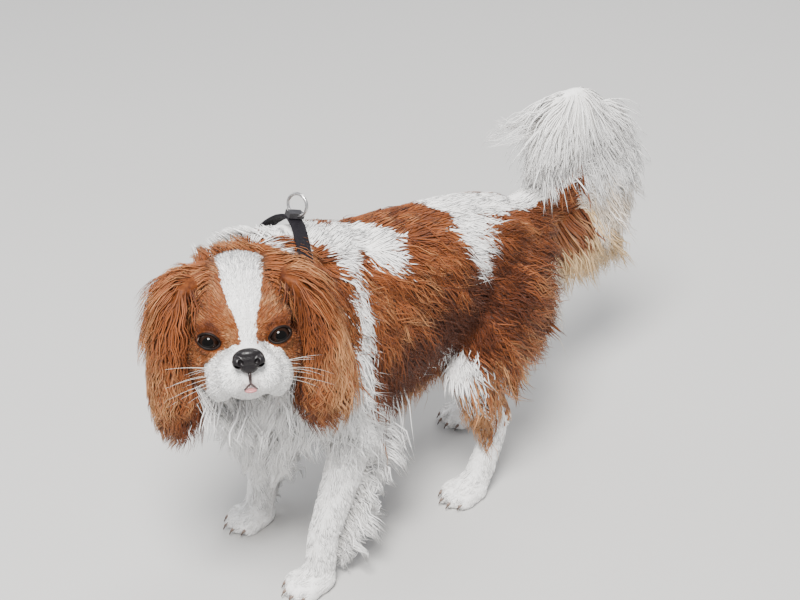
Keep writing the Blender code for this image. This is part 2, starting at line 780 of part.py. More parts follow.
def make_strap(radii, finish):
    """The closed strap around the neck."""
    bm = bmesh.new()
    half = STRAP_WIDTH / 2
    profile = ((0, -half), (STRAP_THICKNESS, -half), (STRAP_THICKNESS, half), (0, half))
    rings = [
        [bm.verts.new(strap_point(radii, k, out, along)) for out, along in profile]
        for k in range(STRAP_STEPS)
    ]
    for here, ahead in zip(rings, rings[1:] + rings[:1]):
        for c in range(4):
            d = (c + 1) % 4
            bm.faces.new((here[c], here[d], ahead[d], ahead[c]))
    return object_of("collar", mesh_of(bm, "collar"), finish)


def make_ring(name, place, finish, segments=20, sides=6):
    """A closed ring of wire, standing in the place's XZ plane."""
    bm = bmesh.new()
    rings = []
    for k in range(segments):
        angle = 2 * math.pi * k / segments
        out = Vector((math.cos(angle), 0, math.sin(angle)))
        turns = (2 * math.pi * j / sides for j in range(sides))
        spokes = [out * math.cos(turn) + Vector((0, 1, 0)) * math.sin(turn) for turn in turns]
        rings.append([bm.verts.new(place @ (out * RING_RADIUS + s * RING_WIRE)) for s in spokes])
    for here, ahead in zip(rings, rings[1:] + rings[:1]):
        for j in range(sides):
            i = (j + 1) % sides
            bm.faces.new((here[j], here[i], ahead[i], ahead[j]))
    return object_of(name, mesh_of(bm, name), finish)


def make_collar(flesh, finish, steel):
    """The strap, its slider, and the ring in its keeper, each set in a groove of the flesh."""
    radii = strap_radii()
    strap = make_strap(radii, finish)
    top = strap_place(radii, STRAP_STEPS / 4)
    lean = Matrix.Translation((0, 0, RING_RADIUS + 0.0017)) @ Matrix.Rotation(0.5, 4, "Z")
    ring = make_ring("collar_ring", top @ lean, steel)
    keeper = block("collar_keeper", (-0.0045, -0.0070, GAP), (0.0045, 0.0070, 0.0050), top)
    slider_place = strap_place(radii, STRAP_STEPS * 0.09)
    slider = block("collar_slider", (-0.0110, -0.0085, GAP), (0.0110, 0.0085, 0.0042), slider_place)
    for piece in (keeper, slider):
        object_to_model(piece, finish)
        clear_of(piece, strap)
    clear_of(keeper, ring)
    pieces = (strap, keeper, slider)
    for piece in pieces:
        for node in flesh:
            clear_of(node, piece)
    return pieces


def object_to_model(obj, finish):
    """Moves a helper into the model's collection and gives it a finish."""
    HELPERS.objects.unlink(obj)
    DOG.objects.link(obj)
    obj.data.materials.append(finish)


def make_body(white, chestnut):
    """The trunk, neck, legs and tail as one form, parted by thin cuts."""
    bm = bmesh.new()
    loft(bm, TRUNK)
    loft(bm, NECK)
    loft(bm, TAIL)
    front_leg(bm, 1, -0.136)
    front_leg(bm, -1, -0.124)
    hind_leg(bm, 1, 0.062)
    hind_leg(bm, -1, 0.148)
    head_forms(bm)
    ellipsoid(bm, (0.006, -0.142, 0.215), (0.042, 0.030, 0.056), turn=(-14, 0, 10))
    body = fused("body", bm, BODY_VOXEL, 5, BODY_TRIANGLES)
    comb(tree_of(body), body_patches(), random.Random(COAT_SEED))
    fuse_locks(body)
    flatten(body)
    front = split(body, "neck", (((-0.3, -0.4, -0.15), (0.3, 0.0, 0.4)),), NECK_CUT)
    head_side = ((-0.3, -0.4, -0.3), (0.3, HEAD_CUT_AT, 0.3))
    keep_largest(carve(front, block("cutter", *head_side, HEAD_CUT, GAP / 2), "DIFFERENCE"))
    legs = (
        ("leg_front_left", (0.026, -0.22, -0.01), (0.14, -0.035, 0.166)),
        ("leg_front_right", (-0.14, -0.22, -0.01), (-0.026, -0.035, 0.166)),
        ("leg_hind_left", (0.024, 0.010, -0.01), (0.14, 0.215, 0.190)),
        ("leg_hind_right", (-0.14, 0.040, -0.01), (-0.024, 0.260, 0.190)),
    )
    for name, low, high in legs:
        leg = split(body, name, ((low, high),))
        leg.data.materials.append(white)
    over = ((-0.1, 0.120, 0.316), (0.1, 0.5, 0.6))
    plume = split(body, "tail_plume", (over, ((-0.1, 0.228, 0.0), (0.1, 0.5, 0.6))))
    tail = split(body, "tail", (((-0.1, 0.166, 0.0), (0.1, 0.5, 0.6)),))
    plume.data.materials.append(white)
    body.name = "torso"
    HELPERS.objects.unlink(body)
    DOG.objects.link(body)
    body.data.materials.append(chestnut)
    tail.data.materials.append(white)
    front.data.materials.append(white)
    return body, front, tail


def settle_origin():
    """Moves the whole model so that the origin is under its middle, on the floor."""
    low = Vector((1e9,) * 3)
    high = Vector((-1e9,) * 3)
    for obj in DOG.objects:
        for vertex in obj.data.vertices:
            low = Vector(map(min, low, vertex.co))
            high = Vector(map(max, high, vertex.co))
    shift = Vector((-(low.x + high.x) / 2, -(low.y + high.y) / 2, -low.z))
    for obj in DOG.objects:
        obj.data.transform(Matrix.Translation(shift))
        obj.data.shade_smooth()
        obj.data.set_sharp_from_angle(angle=math.radians(50))


def main():
    white = material("white_coat", WHITE_COAT, 0.7)
    chestnut = material("chestnut_coat", CHESTNUT_COAT, 0.65)
    black = material("nose_leather", NOSE_BLACK, 0.35)
    eye = material("eye", EYE_BROWN, 0.05)
    pink = material("tongue", TONGUE_PINK, 0.4)
    strap = material("strap", STRAP_BLACK, 0.6)
    steel = material("steel", RING_STEEL, 0.25, 1.0)

    body, neck, tail = make_body(white, chestnut)
    head = make_head(chestnut)
    neck_side = block("cutter", (-0.3, HEAD_CUT_AT, -0.3), (0.3, 0.4, 0.3), HEAD_CUT, GAP / 2)
    chest_side = block("cutter", (-0.3, 0.0, -0.3), (0.3, 0.4, 0.3), NECK_CUT, GAP / 2)
    for side in (neck_side, chest_side):
        keep_largest(carve(head, side, "DIFFERENCE"))
    HELPERS.objects.unlink(head)
    DOG.objects.link(head)
    head.data.materials.append(chestnut)
    make_eyes(eye)
    make_nose(head, black)
    make_tongue(head, pink)
    worn = make_collar((neck, head, body), strap, steel)
    for side in (1, -1):
        for behind in (neck, body):
            keep_largest(carve(behind, ear_room(side, GAP / 2), "DIFFERENCE"))
        ear = make_ear(head, side, chestnut)
        for piece in worn:
            clear_of(ear, piece)
    for obj in list(HELPERS.objects):
        bpy.data.objects.remove(obj)
    for node in DOG.objects:
        draw_apart(node)
    settle_origin()


clear_scene()
DOG = bpy.data.collections.new("spaniel")
HELPERS = bpy.data.collections.new("helpers")
LOCKS = bpy.data.collections.new("locks")
for group in (DOG, HELPERS, LOCKS):
    bpy.context.scene.collection.children.link(group)
main()
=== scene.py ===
"""A standing Cavalier King Charles spaniel, dressed as a life-size museum model.

Metres, +Z up, nose towards -Y. Everything is built in the sculptor's frame, in which the body
lies along Y at X = 0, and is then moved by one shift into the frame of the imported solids.
"""

from __future__ import annotations

import enum
import logging
import math
from collections.abc import Callable, Iterable, Sequence
from dataclasses import dataclass, field, replace

import bmesh
import bpy
import numpy as np
from mathutils import Matrix, Vector
from mathutils.bvhtree import BVHTree
from mathutils.kdtree import KDTree


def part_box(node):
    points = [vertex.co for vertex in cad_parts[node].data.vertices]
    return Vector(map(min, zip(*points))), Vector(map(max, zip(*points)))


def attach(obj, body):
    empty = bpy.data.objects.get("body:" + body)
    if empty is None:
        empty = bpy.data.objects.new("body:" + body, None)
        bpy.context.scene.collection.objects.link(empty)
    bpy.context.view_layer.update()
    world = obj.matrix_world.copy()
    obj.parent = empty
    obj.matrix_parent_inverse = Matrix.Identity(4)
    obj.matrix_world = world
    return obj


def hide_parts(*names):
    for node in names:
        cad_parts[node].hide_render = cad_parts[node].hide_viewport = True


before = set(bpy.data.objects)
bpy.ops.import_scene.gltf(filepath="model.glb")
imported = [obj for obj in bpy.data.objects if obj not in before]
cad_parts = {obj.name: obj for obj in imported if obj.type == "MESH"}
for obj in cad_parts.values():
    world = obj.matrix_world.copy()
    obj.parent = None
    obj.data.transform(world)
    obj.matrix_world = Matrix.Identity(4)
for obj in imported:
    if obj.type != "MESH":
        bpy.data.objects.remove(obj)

log = logging.getLogger("spaniel")

Colour = tuple[float, float, float]
Point = tuple[float, float, float]
Station = tuple[Point, float, float]
Array = np.ndarray

BODY = "root"
FLOOR_CLEARANCE = 0.0015


class Side(enum.Enum):
    """The dog's own left and right."""

    LEFT = 1
    RIGHT = -1

    @property
    def word(self) -> str:
        """The side's name, as the nodes use it."""
        return self.name.lower()


# Shader maths


@dataclass(frozen=True)
class Wire:
    """One output of a node, on which Python's operators add Math nodes."""

    tree: bpy.types.NodeTree
    socket: bpy.types.NodeSocket

    def math(self, operation: str, *others: Wire | float) -> Wire:
        """A Math node of this wire and others."""
        return place_node(self.tree, "ShaderNodeMath", {"operation": operation}, (self, *others))

    def __add__(self, other: Wire | float) -> Wire:
        """This plus other."""
        return self.math("ADD", other)

    def __radd__(self, other: float) -> Wire:
        """Other plus this."""
        return self.math("ADD", other)

    def __sub__(self, other: Wire | float) -> Wire:
        """This less other."""
        return self.math("SUBTRACT", other)

    def __rsub__(self, other: float) -> Wire:
        """Other less this."""
        return place_node(self.tree, "ShaderNodeMath", {"operation": "SUBTRACT"}, (other, self))

    def __mul__(self, other: Wire | float) -> Wire:
        """This times other."""
        return self.math("MULTIPLY", other)

    def __rmul__(self, other: float) -> Wire:
        """Other times this."""
        return self.math("MULTIPLY", other)

    def __truediv__(self, other: Wire | float) -> Wire:
        """This over other."""
        return self.math("DIVIDE", other)

    def __pow__(self, other: float) -> Wire:
        """This to a power."""
        return self.math("POWER", other)

    def rise(self, low: float, high: float) -> Wire:
        """A smooth step from 0 at low to 1 at high, or the other way round where low is higher."""
        flip = low > high
        ends = (high, low, 1.0, 0.0) if flip else (low, high, 0.0, 1.0)
        settings = {"interpolation_type": "SMOOTHSTEP", "clamp": True}
        return place_node(self.tree, "ShaderNodeMapRange", settings, (self, *ends))


def place_node(
    tree: bpy.types.NodeTree,
    kind: str,
    settings: dict | None = None,
    sockets: Sequence | dict | None = None,
    output: int | str = 0,
) -> Wire:
    """Adds a node, sets it up and links it.

    Args:
        tree: The node tree to add to.
        kind: The node's type.
        settings: Its properties, and "stops" for a colour ramp; these are set first.
        sockets: Values or wires, in order or by the name or index of the input.
        output: Which output to return.

    Returns:
        The wire that leaves the node.
    """
    node = tree.nodes.new(kind)
    for name, value in (settings or {}).items():
        if name != "stops":
            setattr(node, name, value)
            continue
        ramp = node.color_ramp.elements
        while len(ramp) < len(value):
            ramp.new(0.5)
        for element, (place, colour) in zip(ramp, value):
            element.position = place
            element.color = (*colour, 1.0)
    pairs = sockets.items() if isinstance(sockets, dict) else enumerate(sockets or ())
    for key, value in pairs:
        target = node.inputs[key]
        if isinstance(value, Wire):
            tree.links.new(value.socket, target)
        elif isinstance(value, tuple) and len(value) == 3 and target.type == "RGBA":
            target.default_value = (*value, 1.0)
        else:
            target.default_value = value
    return Wire(tree, node.outputs[output])


class Recipe:
    """A material under construction."""

    def __init__(self, name: str) -> None:
        """Starts a material with an empty Principled shader."""
        self.material = bpy.data.materials.new(name)
        self.material.use_nodes = True
        self.tree = self.material.node_tree
        self.shader = self.tree.nodes["Principled BSDF"]

    def node(
        self,
        kind: str,
        settings: dict | None = None,
        sockets: Sequence | dict | None = None,
        output: int | str = 0,
    ) -> Wire:
        """A node of this material: see place_node."""
        return place_node(self.tree, kind, settings, sockets, output)

    def attribute(self, name: str) -> Wire:
        """A number that the mesh holds at its points."""
        settings = {"attribute_name": name, "attribute_type": "GEOMETRY"}
        return self.node("ShaderNodeAttribute", settings, output="Fac")

    def place(self) -> Wire:
        """Where the point lies on the object."""
        return self.node("ShaderNodeTexCoord", output="Object")

    def scaled(self, vector: Wire, scale: Point) -> Wire:
        """A vector with each axis stretched."""
        return self.node("ShaderNodeVectorMath", {"operation": "MULTIPLY"}, (vector, scale))

    def joined(self, x: Wire | float, y: Wire | float, z: Wire | float) -> Wire:
        """A vector of three numbers."""
        return self.node("ShaderNodeCombineXYZ", None, (x, y, z))

    def noise(self, vector: Wire, scale: float, detail: float = 3.0, rough: float = 0.55) -> Wire:
        """Soft noise, about 0.5 in the middle."""
        sockets = {"Vector": vector, "Scale": scale, "Detail": detail, "Roughness": rough}
        return self.node("ShaderNodeTexNoise", None, sockets)

    def mix(self, share: Wire | float, a: Wire | Colour, b: Wire | Colour) -> Wire:
        """A colour part of the way from a to b."""
        settings = {"data_type": "RGBA", "blend_type": "MIX"}
        return self.node("ShaderNodeMix", settings, {0: share, 6: a, 7: b}, output=2)

    def shade(self, colour: Wire | Colour, light: Wire | float) -> Wire:
        """A colour made darker or lighter by a factor."""
        grey = self.joined(light, light, light)
        return self.node(
            "ShaderNodeVectorMath", {"operation": "MULTIPLY"}, (colour, grey)
        )

    def bump(self, height: Wire, distance: float, strength: float = 1.0) -> Wire:
        """A normal bent by a height map."""
        sockets = {"Height": height, "Distance": distance, "Strength": strength}
        return self.node("ShaderNodeBump", None, sockets, output="Normal")

    def finish(self, **sockets: Wire | float | Colour) -> bpy.types.Material:
        """Sets the Principled shader's sockets.

        Args:
            **sockets: Values or wires by the socket's name, with underscores for spaces.

        Returns:
            The finished material.
        """
        for name, value in sockets.items():
            target = self.shader.inputs[name.replace("_", " ")]
            if isinstance(value, Wire):
                self.tree.links.new(value.socket, target)
            elif isinstance(value, tuple):
                target.default_value = (*value, 1.0) if target.type == "RGBA" else value
            else:
                target.default_value = value
        return self.material


# Finishes


@dataclass(frozen=True)
class CoatFinish:
    """White and chestnut hair: markings come with the mesh, strands are drawn along each lock, and
    painted shade darkens the roots and the skin beneath.
    """

    white: Colour = (0.95, 0.94, 0.925)
    shadow_white: Colour = (0.80, 0.77, 0.73)
    cream: Colour = (0.84, 0.60, 0.33)
    chestnut: Colour = (0.235, 0.066, 0.017)
    dark: Colour = (0.085, 0.020, 0.005)
    golden: Colour = (0.53, 0.265, 0.115)
    strands: float = 5.0
    roughness: float = 0.50

    def material(self, name: str, hair: bool = True) -> bpy.types.Material:
        """The coat's material.

        Args:
            name: The material's name.
            hair: True for locks of hair, False for the skin under them.

        Returns:
            The material.
        """
        r = Recipe(name)
        white, tone, cream = (r.attribute(word) for word in ("white", "tone", "cream"))
        place = r.place()
        blotch = r.noise(place, 34.0, 2.0)
        fleck = r.noise(place, 420.0, 3.0, 0.7)
        if hair:
            along, across, shade = (r.attribute(word) for word in ("along", "across", "shade"))
            lines = r.joined(across * self.strands, along * 1.1, shade * 61.0)
            strand = r.noise(lines, 1.0, 2.0, 0.6)
            tip = along**1.6
            # Painted shade: the hair is drawn darker towards its roots, where the locks shade each
            # other.
            painted_root_shade = 0.62 + 0.38 * along.rise(0.0, 0.40)
            light = painted_root_shade * (0.84 + 0.32 * strand) * (0.90 + 0.20 * shade)
            # White hair is spared most of the painted shade.
            light = light + (1.0 - light) * (0.85 * white)
        else:
            strand, shade, tip = fleck, blotch, fleck * 0.3
            # Painted shade: the skin and undercoat under the locks are drawn darker, less so where
            # they are white.
            light = 0.42 + 0.3 * fleck + 0.36 * white
        depth = (tone + 0.55 * (strand - 0.5) + 0.5 * (blotch - 0.5) + 0.30 * (shade - 0.5))
        red = r.mix(depth.rise(0.05, 0.50), self.dark, self.chestnut)
        red = r.mix((depth + 0.35 * tip).rise(0.55, 1.10), red, self.golden)
        # Painted shade on white hair: towards the roots it turns to the greyer shadow_white.
        pale = r.mix((strand + 0.6 * tip).rise(0.15, 0.75), self.shadow_white, self.white)
        buff = (cream + 0.35 * (strand - 0.5) + 0.25 * (shade - 0.5)).rise(0.30, 0.95)
        pale = r.mix(buff, pale, self.cream)
        edge = (white + 0.35 * (strand - 0.5)).rise(0.38, 0.62)
        colour = r.shade(r.mix(edge, red, pale), light)
        height = strand if hair else fleck
        return r.finish(
            Base_Color=colour,
            Roughness=self.roughness,
            Specular_IOR_Level=0.20 if hair else 0.10,
            Sheen_Weight=0.05,
            Sheen_Roughness=0.45,
            Normal=r.bump(height, 0.00035 if hair else 0.0004, 0.7),
        )


@dataclass(frozen=True)
class EyeFinish:
    """A dark brown eye under a clear wet front."""

    pupil: Colour = (0.0015, 0.0012, 0.001)
    iris: Colour = (0.013, 0.0048, 0.0022)
    iris_edge: Colour = (0.004, 0.002, 0.0015)
    sclera: Colour = (0.30, 0.24, 0.21)

    def material(self) -> bpy.types.Material:
        """Pupil, iris and white of the eye, by the angle from where it looks."""
        r = Recipe("eye_ball")
        gaze = r.attribute("gaze")
        spoke = r.noise(r.scaled(r.place(), (1.0, 1.0, 1.0)), 900.0, 2.0)
        iris = r.mix((gaze + 0.10 * (spoke - 0.5)).rise(0.50, 0.80), self.iris, self.iris_edge)
        colour = r.mix((gaze + 0.02 * (spoke - 0.5)).rise(0.40, 0.50), self.pupil, iris)
        colour = r.mix(gaze.rise(0.92, 1.02), colour, self.sclera)
        return r.finish(
            Base_Color=colour, Roughness=0.05, Coat_Weight=0.25, Coat_Roughness=0.02,
            Specular_IOR_Level=0.06,
        )


@dataclass(frozen=True)
class DampSkinFinish:
    """Bare dark or pink skin, pebbled and a little wet."""

    name: str
    colour: Colour
    second: Colour
    pebble: float = 900.0
    relief: float = 0.00022
    roughness: float = 0.34
    coat: float = 0.25
    shine: float = 0.5

    def material(self) -> bpy.types.Material:
        """The pebbled material."""
        r = Recipe(self.name)
        place = r.place()
        cells = r.node(
            "ShaderNodeTexVoronoi",
            {"feature": "SMOOTH_F1"},
            {"Vector": place, "Scale": self.pebble, "Smoothness": 0.6},
        )
        cloud = r.noise(place, 260.0, 3.0)
        colour = r.mix((cells * 0.8 + cloud * 0.5).rise(0.25, 0.85), self.colour, self.second)
        return r.finish(
            Base_Color=colour,
            Roughness=self.roughness + 0.22 * (cloud - 0.5),
            Coat_Weight=self.coat,
            Coat_Roughness=0.22,
            Specular_IOR_Level=self.shine,
            Normal=r.bump(1.0 - cells, self.relief, 0.9),
        )


@dataclass(frozen=True)
class HornFinish:
    """Claws and whiskers: smooth, faintly streaked horn."""

    name: str
    colour: Colour
    tip: Colour
    roughness: float = 0.35

    def material(self) -> bpy.types.Material:
        """Horn that changes colour along its length."""
        r = Recipe(self.name)
        grain = r.noise(r.scaled(r.place(), (900.0, 900.0, 200.0)), 1.0, 3.0)
        along = r.attribute("along")
        colour = r.mix((along + 0.5 * (grain - 0.5)).rise(0.1, 0.9), self.colour, self.tip)
        return r.finish(
            Base_Color=colour, Roughness=self.roughness, Normal=r.bump(grain, 0.00005, 0.5)
        )


@dataclass(frozen=True)
class WebbingFinish:
    """Woven black nylon."""

    colour: Colour = (0.005, 0.004, 0.006)
    worn: Colour = (0.017, 0.015, 0.020)
    pitch: float = 0.0011

    def material(self) -> bpy.types.Material:
        """A basket weave in the strap's own directions, across and along."""
        r = Recipe("nylon_webbing")
        across, along = r.attribute("across"), r.attribute("along")
        turn = 2 * math.pi / self.pitch
        warp = (across * turn).math("SINE")
        weft = (along * turn).math("SINE")
        weave = warp * weft
        fuzz = r.noise(r.place(), 1500.0, 2.0)
        wear = (0.5 * weave + fuzz).rise(0.35, 1.05)
        return r.finish(
            Base_Color=r.mix(wear, self.colour, self.worn),
            Roughness=0.62 + 0.3 * (fuzz - 0.5),
            Specular_IOR_Level=0.14,
            Normal=r.bump(weave + 0.4 * fuzz, 0.00018, 0.9),
        )


@dataclass(frozen=True)
class SteelFinish:
    """Bright steel wire with fine scratches."""

    colour: Colour = (0.70, 0.69, 0.68)
    dull: Colour = (0.42, 0.41, 0.41)

    def material(self) -> bpy.types.Material:
        """Scratched steel."""
        r = Recipe("steel_wire")
        scratch = r.noise(r.scaled(r.place(), (400.0, 2600.0, 900.0)), 1.0, 3.0)
        return r.finish(
            Base_Color=r.mix(scratch.rise(0.35, 0.7), self.colour, self.dull),
            Metallic=1.0,
            Roughness=0.18 + 0.25 * scratch,
            Normal=r.bump(scratch, 0.00003, 0.4),
        )


@dataclass(frozen=True)
class ResinFinish:
    """Moulded black plastic with a fine grain."""

    colour: Colour = (0.009, 0.008, 0.010)
    rubbed: Colour = (0.024, 0.022, 0.026)

    def material(self) -> bpy.types.Material:
        """Grained plastic."""
        r = Recipe("moulded_plastic")
        grain = r.noise(r.place(), 2600.0, 2.0)
        rub = r.noise(r.place(), 240.0, 3.0)
        return r.finish(
            Base_Color=r.mix(rub.rise(0.45, 0.75), self.colour, self.rubbed),
            Roughness=0.36 + 0.25 * (rub - 0.5),
            Normal=r.bump(grain, 0.00006, 0.6),
        )


@dataclass(frozen=True)
class FloorFinish:
    """A plain pale studio floor."""

    colour: Colour = (0.50, 0.495, 0.485)

    def material(self) -> bpy.types.Material:
        """Matt paint with a very slight mottle."""
        r = Recipe("studio_floor")
        mottle = r.noise(r.place(), 3.0, 3.0)
        second = tuple(0.965 * c for c in self.colour)
        return r.finish(Base_Color=r.mix(mottle, self.colour, second), Roughness=0.85)


# Small helpers of shape


def unit(vectors: Array) -> Array:
    """Vectors of length one."""
    return vectors / np.maximum(np.linalg.norm(vectors, axis=-1, keepdims=True), 1e-9)


def dot(a: Array, b: Array) -> Array:
    """The dot product of each pair of rows."""
    return np.einsum("ij,ij->i", a, b)


def rise(value: Array, low: float, high: float) -> Array:
    """A smooth step from 0 at low to 1 at high; low may be the higher."""
    share = np.clip((value - low) / (high - low), 0.0, 1.0)
    return share * share * (3 - 2 * share)


def pill(points: Array, start: Point, end: Point, wide: float, wide_end: float) -> Array:
    """How far inside a round-ended bar each point lies: 1 on its axis, 0 on its surface."""
    a, b = np.array(start), np.array(end)
    axis = b - a
    share = np.clip((points - a) @ axis / max(axis @ axis, 1e-12), 0.0, 1.0)
    away = np.linalg.norm(points - (a + share[:, None] * axis), axis=1)
    return 1 - away / (wide + (wide_end - wide) * share)


def ripple(points: Array, size: float, seed: int) -> Array:
    """Smooth noise between about -1 and 1, whose waves are about a size long."""
    draw = np.random.default_rng(seed)
    total = np.zeros(len(points))
    for octave in range(5):
        wave = unit(draw.normal(size=(1, 3)))[0] * (2 * math.pi / size) * 1.45**octave
        bend = unit(draw.normal(size=(1, 3)))[0] * (2 * math.pi / size) * 0.7
        phase = draw.uniform(0, 2 * math.pi, 2)
        total += np.sin(points @ wave + phase[0] + 1.3 * np.sin(points @ bend + phase[1])) / 2.2
    return total / 1.4


def applied(matrix: Matrix, points: Array) -> Array:
    """Points moved by a matrix."""
    rows = np.array(matrix)
    return points @ rows[:3, :3].T + rows[:3, 3]


@dataclass(frozen=True)
class Posture:
    """Where the head sits and how it is turned."""

    head_at: Point = (0.064, -0.203, 0.309)
    scale: float = 0.945
    yaw: float = math.radians(60)
    pitch: float = math.radians(28)
    head_cut_turn: float = math.radians(-27)
    head_cut_at: float = 0.067
    skull_at: Point = (0, 0.044, 0.024)
    skull: Point = (0.052, 0.058, 0.050)
    neck_cut_at: Point = (0, -0.104, 0.275)
    neck_cut_turn: float = math.radians(-32)

    def hang(self) -> Matrix:
        """The frame that the ears hang in: the head's, without its pitch."""
        turn = Matrix.Rotation(self.yaw, 4, "Z")
        return Matrix.Translation(self.head_at) @ turn @ Matrix.Scale(self.scale, 4)

    def head(self) -> Matrix:
        """The head's own frame: nose towards -Y, eyes on the X axis."""
        turn = Matrix.Rotation(self.yaw, 4, "Z") @ Matrix.Rotation(-self.pitch, 4, "X")
        return Matrix.Translation(self.head_at) @ turn @ Matrix.Scale(self.scale, 4)

    def head_share(self, points: Array) -> Array:
        """1 where points belong to the head, 0 on the neck behind it."""
        head = self.head()
        cut = head @ Matrix.Rotation(self.head_cut_turn, 4, "X")
        before = rise(applied(cut.inverted(), points)[:, 1], self.head_cut_at + 0.004,
                      self.head_cut_at - 0.006)
        h = applied(head.inverted(), points)
        away = np.linalg.norm((h - np.array(self.skull_at)) / np.array(self.skull), axis=1)
        return before * np.maximum(rise(away, 1.30, 1.14), rise(h[:, 1], 0.034, 0.022))

    def neck_share(self, points: Array) -> Array:
        """1 where points lie in front of the shoulders, 0 behind."""
        cut = Matrix.Translation(self.neck_cut_at) @ Matrix.Rotation(self.neck_cut_turn, 4, "X")
        return rise(applied(cut.inverted(), points)[:, 1], 0.012, -0.012)


POSTURE = Posture()


class Clay:
    """Closed forms that are gathered and then fused into one surface."""

    def __init__(self) -> None:
        """Starts with no forms."""
        self.bm = bmesh.new()

    def ball(self, centre: Point, radii: Point, turn: Point = (0, 0, 0),
             place: Matrix | None = None, rings: int = 24) -> None:
        """Adds an ellipsoid, turned about its centre by degrees round X, Y and Z."""
        matrix = Matrix.Translation(centre)
        for axis, angle in zip("ZYX", turn[::-1]):
            matrix = matrix @ Matrix.Rotation(math.radians(angle), 4, axis)
        matrix = (place or Matrix()) @ matrix @ Matrix.Diagonal((*radii, 1))
        bmesh.ops.create_uvsphere(
            self.bm, u_segments=rings, v_segments=rings // 2 + 2, radius=1, matrix=matrix
        )

    def loft(self, stations: Sequence[Station], place: Matrix | None = None, ring: int = 24,
             side: Vector = Vector((1, 0, 0))) -> None:
        """Adds a closed tube through stations of centre, half width along side and half depth."""
        centres = [Vector(s[0]) for s in stations]
        rings = []
        last = len(centres) - 1
        for i, (_, wide, deep) in enumerate(stations):
            ahead = (centres[min(i + 1, last)] - centres[max(i - 1, 0)]).normalized()
            across = (side - ahead * side.dot(ahead)).normalized()
            over = ahead.cross(across)
            points = []
            for k in range(ring):
                angle = 2 * math.pi * k / ring
                spoke = across * wide * math.cos(angle) + over * deep * math.sin(angle)
                point = centres[i] + spoke
                points.append(self.bm.verts.new(place @ point if place else point))
            rings.append(points)
        for low, high in zip(rings, rings[1:]):
            for k in range(ring):
                m = (k + 1) % ring
                self.bm.faces.new((low[k], low[m], high[m], high[k]))
        self.bm.faces.new(rings[0][::-1])
        self.bm.faces.new(rings[-1])

    def mesh(self, name: str) -> bpy.types.Mesh:
        """The forms as a mesh whose faces point out."""
        bmesh.ops.recalc_face_normals(self.bm, faces=self.bm.faces)
        made = bpy.data.meshes.new(name)
        self.bm.to_mesh(made)
        self.bm.free()
        return made

    def fused(self, name: str, voxel: float, smoothing: int) -> bpy.types.Object:
        """One smooth surface around all the forms."""
        obj = add_object(name, self.mesh(name))
        remesh = obj.modifiers.new("fuse", "REMESH")
        remesh.mode = "VOXEL"
        remesh.voxel_size = voxel
        soften = obj.modifiers.new("soften", "SMOOTH")
        soften.factor = 0.5
        soften.iterations = smoothing
        return settled(obj)


def add_object(name: str, mesh: bpy.types.Mesh) -> bpy.types.Object:
    """A new object in the scene."""
    obj = bpy.data.objects.new(name, mesh)
    bpy.context.scene.collection.objects.link(obj)
    return obj


def settled(obj: bpy.types.Object) -> bpy.types.Object:
    """The object with its modifiers applied."""
    bpy.context.view_layer.update()
    graph = bpy.context.evaluated_depsgraph_get()
    mesh = bpy.data.meshes.new_from_object(obj.evaluated_get(graph))
    obj.modifiers.clear()
    obj.data = mesh
    return obj


def carve(obj: bpy.types.Object, cutter: bpy.types.Object, operation: str) -> None:
    """Applies a Boolean and removes its cutter."""
    cut = obj.modifiers.new("carve", "BOOLEAN")
    cut.operation = operation
    cut.solver = "MANIFOLD"
    cut.object = cutter
    settled(obj)
    bpy.data.objects.remove(cutter)


def points_of(mesh: bpy.types.Mesh) -> Array:
    """The mesh's points, one row each."""
    flat = np.empty(len(mesh.vertices) * 3)
    mesh.vertices.foreach_get("co", flat)
    return flat.reshape(-1, 3)


def normals_of(mesh: bpy.types.Mesh) -> Array:
    """The mesh's normals at its points."""
    flat = np.empty(len(mesh.vertices) * 3, np.float32)
    mesh.vertex_normals.foreach_get("vector", flat)
    return flat.reshape(-1, 3).astype(float)


def move_points(mesh: bpy.types.Mesh, points: Array) -> None:
    """Puts the mesh's points elsewhere."""
    mesh.vertices.foreach_set("co", points.astype(np.float32).ravel())
    mesh.update()


def note(mesh: bpy.types.Mesh, name: str, values: Array) -> None:
    """Stores one number for each point of the mesh."""
    layer = mesh.attributes.new(name, "FLOAT", "POINT")
    layer.data.foreach_set("value", np.asarray(values, np.float32).ravel())


def mesh_from(name: str, points: Array, faces: Array) -> bpy.types.Mesh:
    """A smooth-shaded mesh of points and triangles."""
    mesh = bpy.data.meshes.new(name)
    mesh.vertices.add(len(points))
    mesh.vertices.foreach_set("co", points.astype(np.float32).ravel())
    mesh.loops.add(faces.size)
    mesh.loops.foreach_set("vertex_index", faces.astype(np.int32).ravel())
    mesh.polygons.add(len(faces))
    mesh.polygons.foreach_set("loop_start", np.arange(0, faces.size, 3, dtype=np.int32))
    mesh.polygons.foreach_set("use_smooth", np.ones(len(faces), bool))
    mesh.update(calc_edges=True)
    return mesh


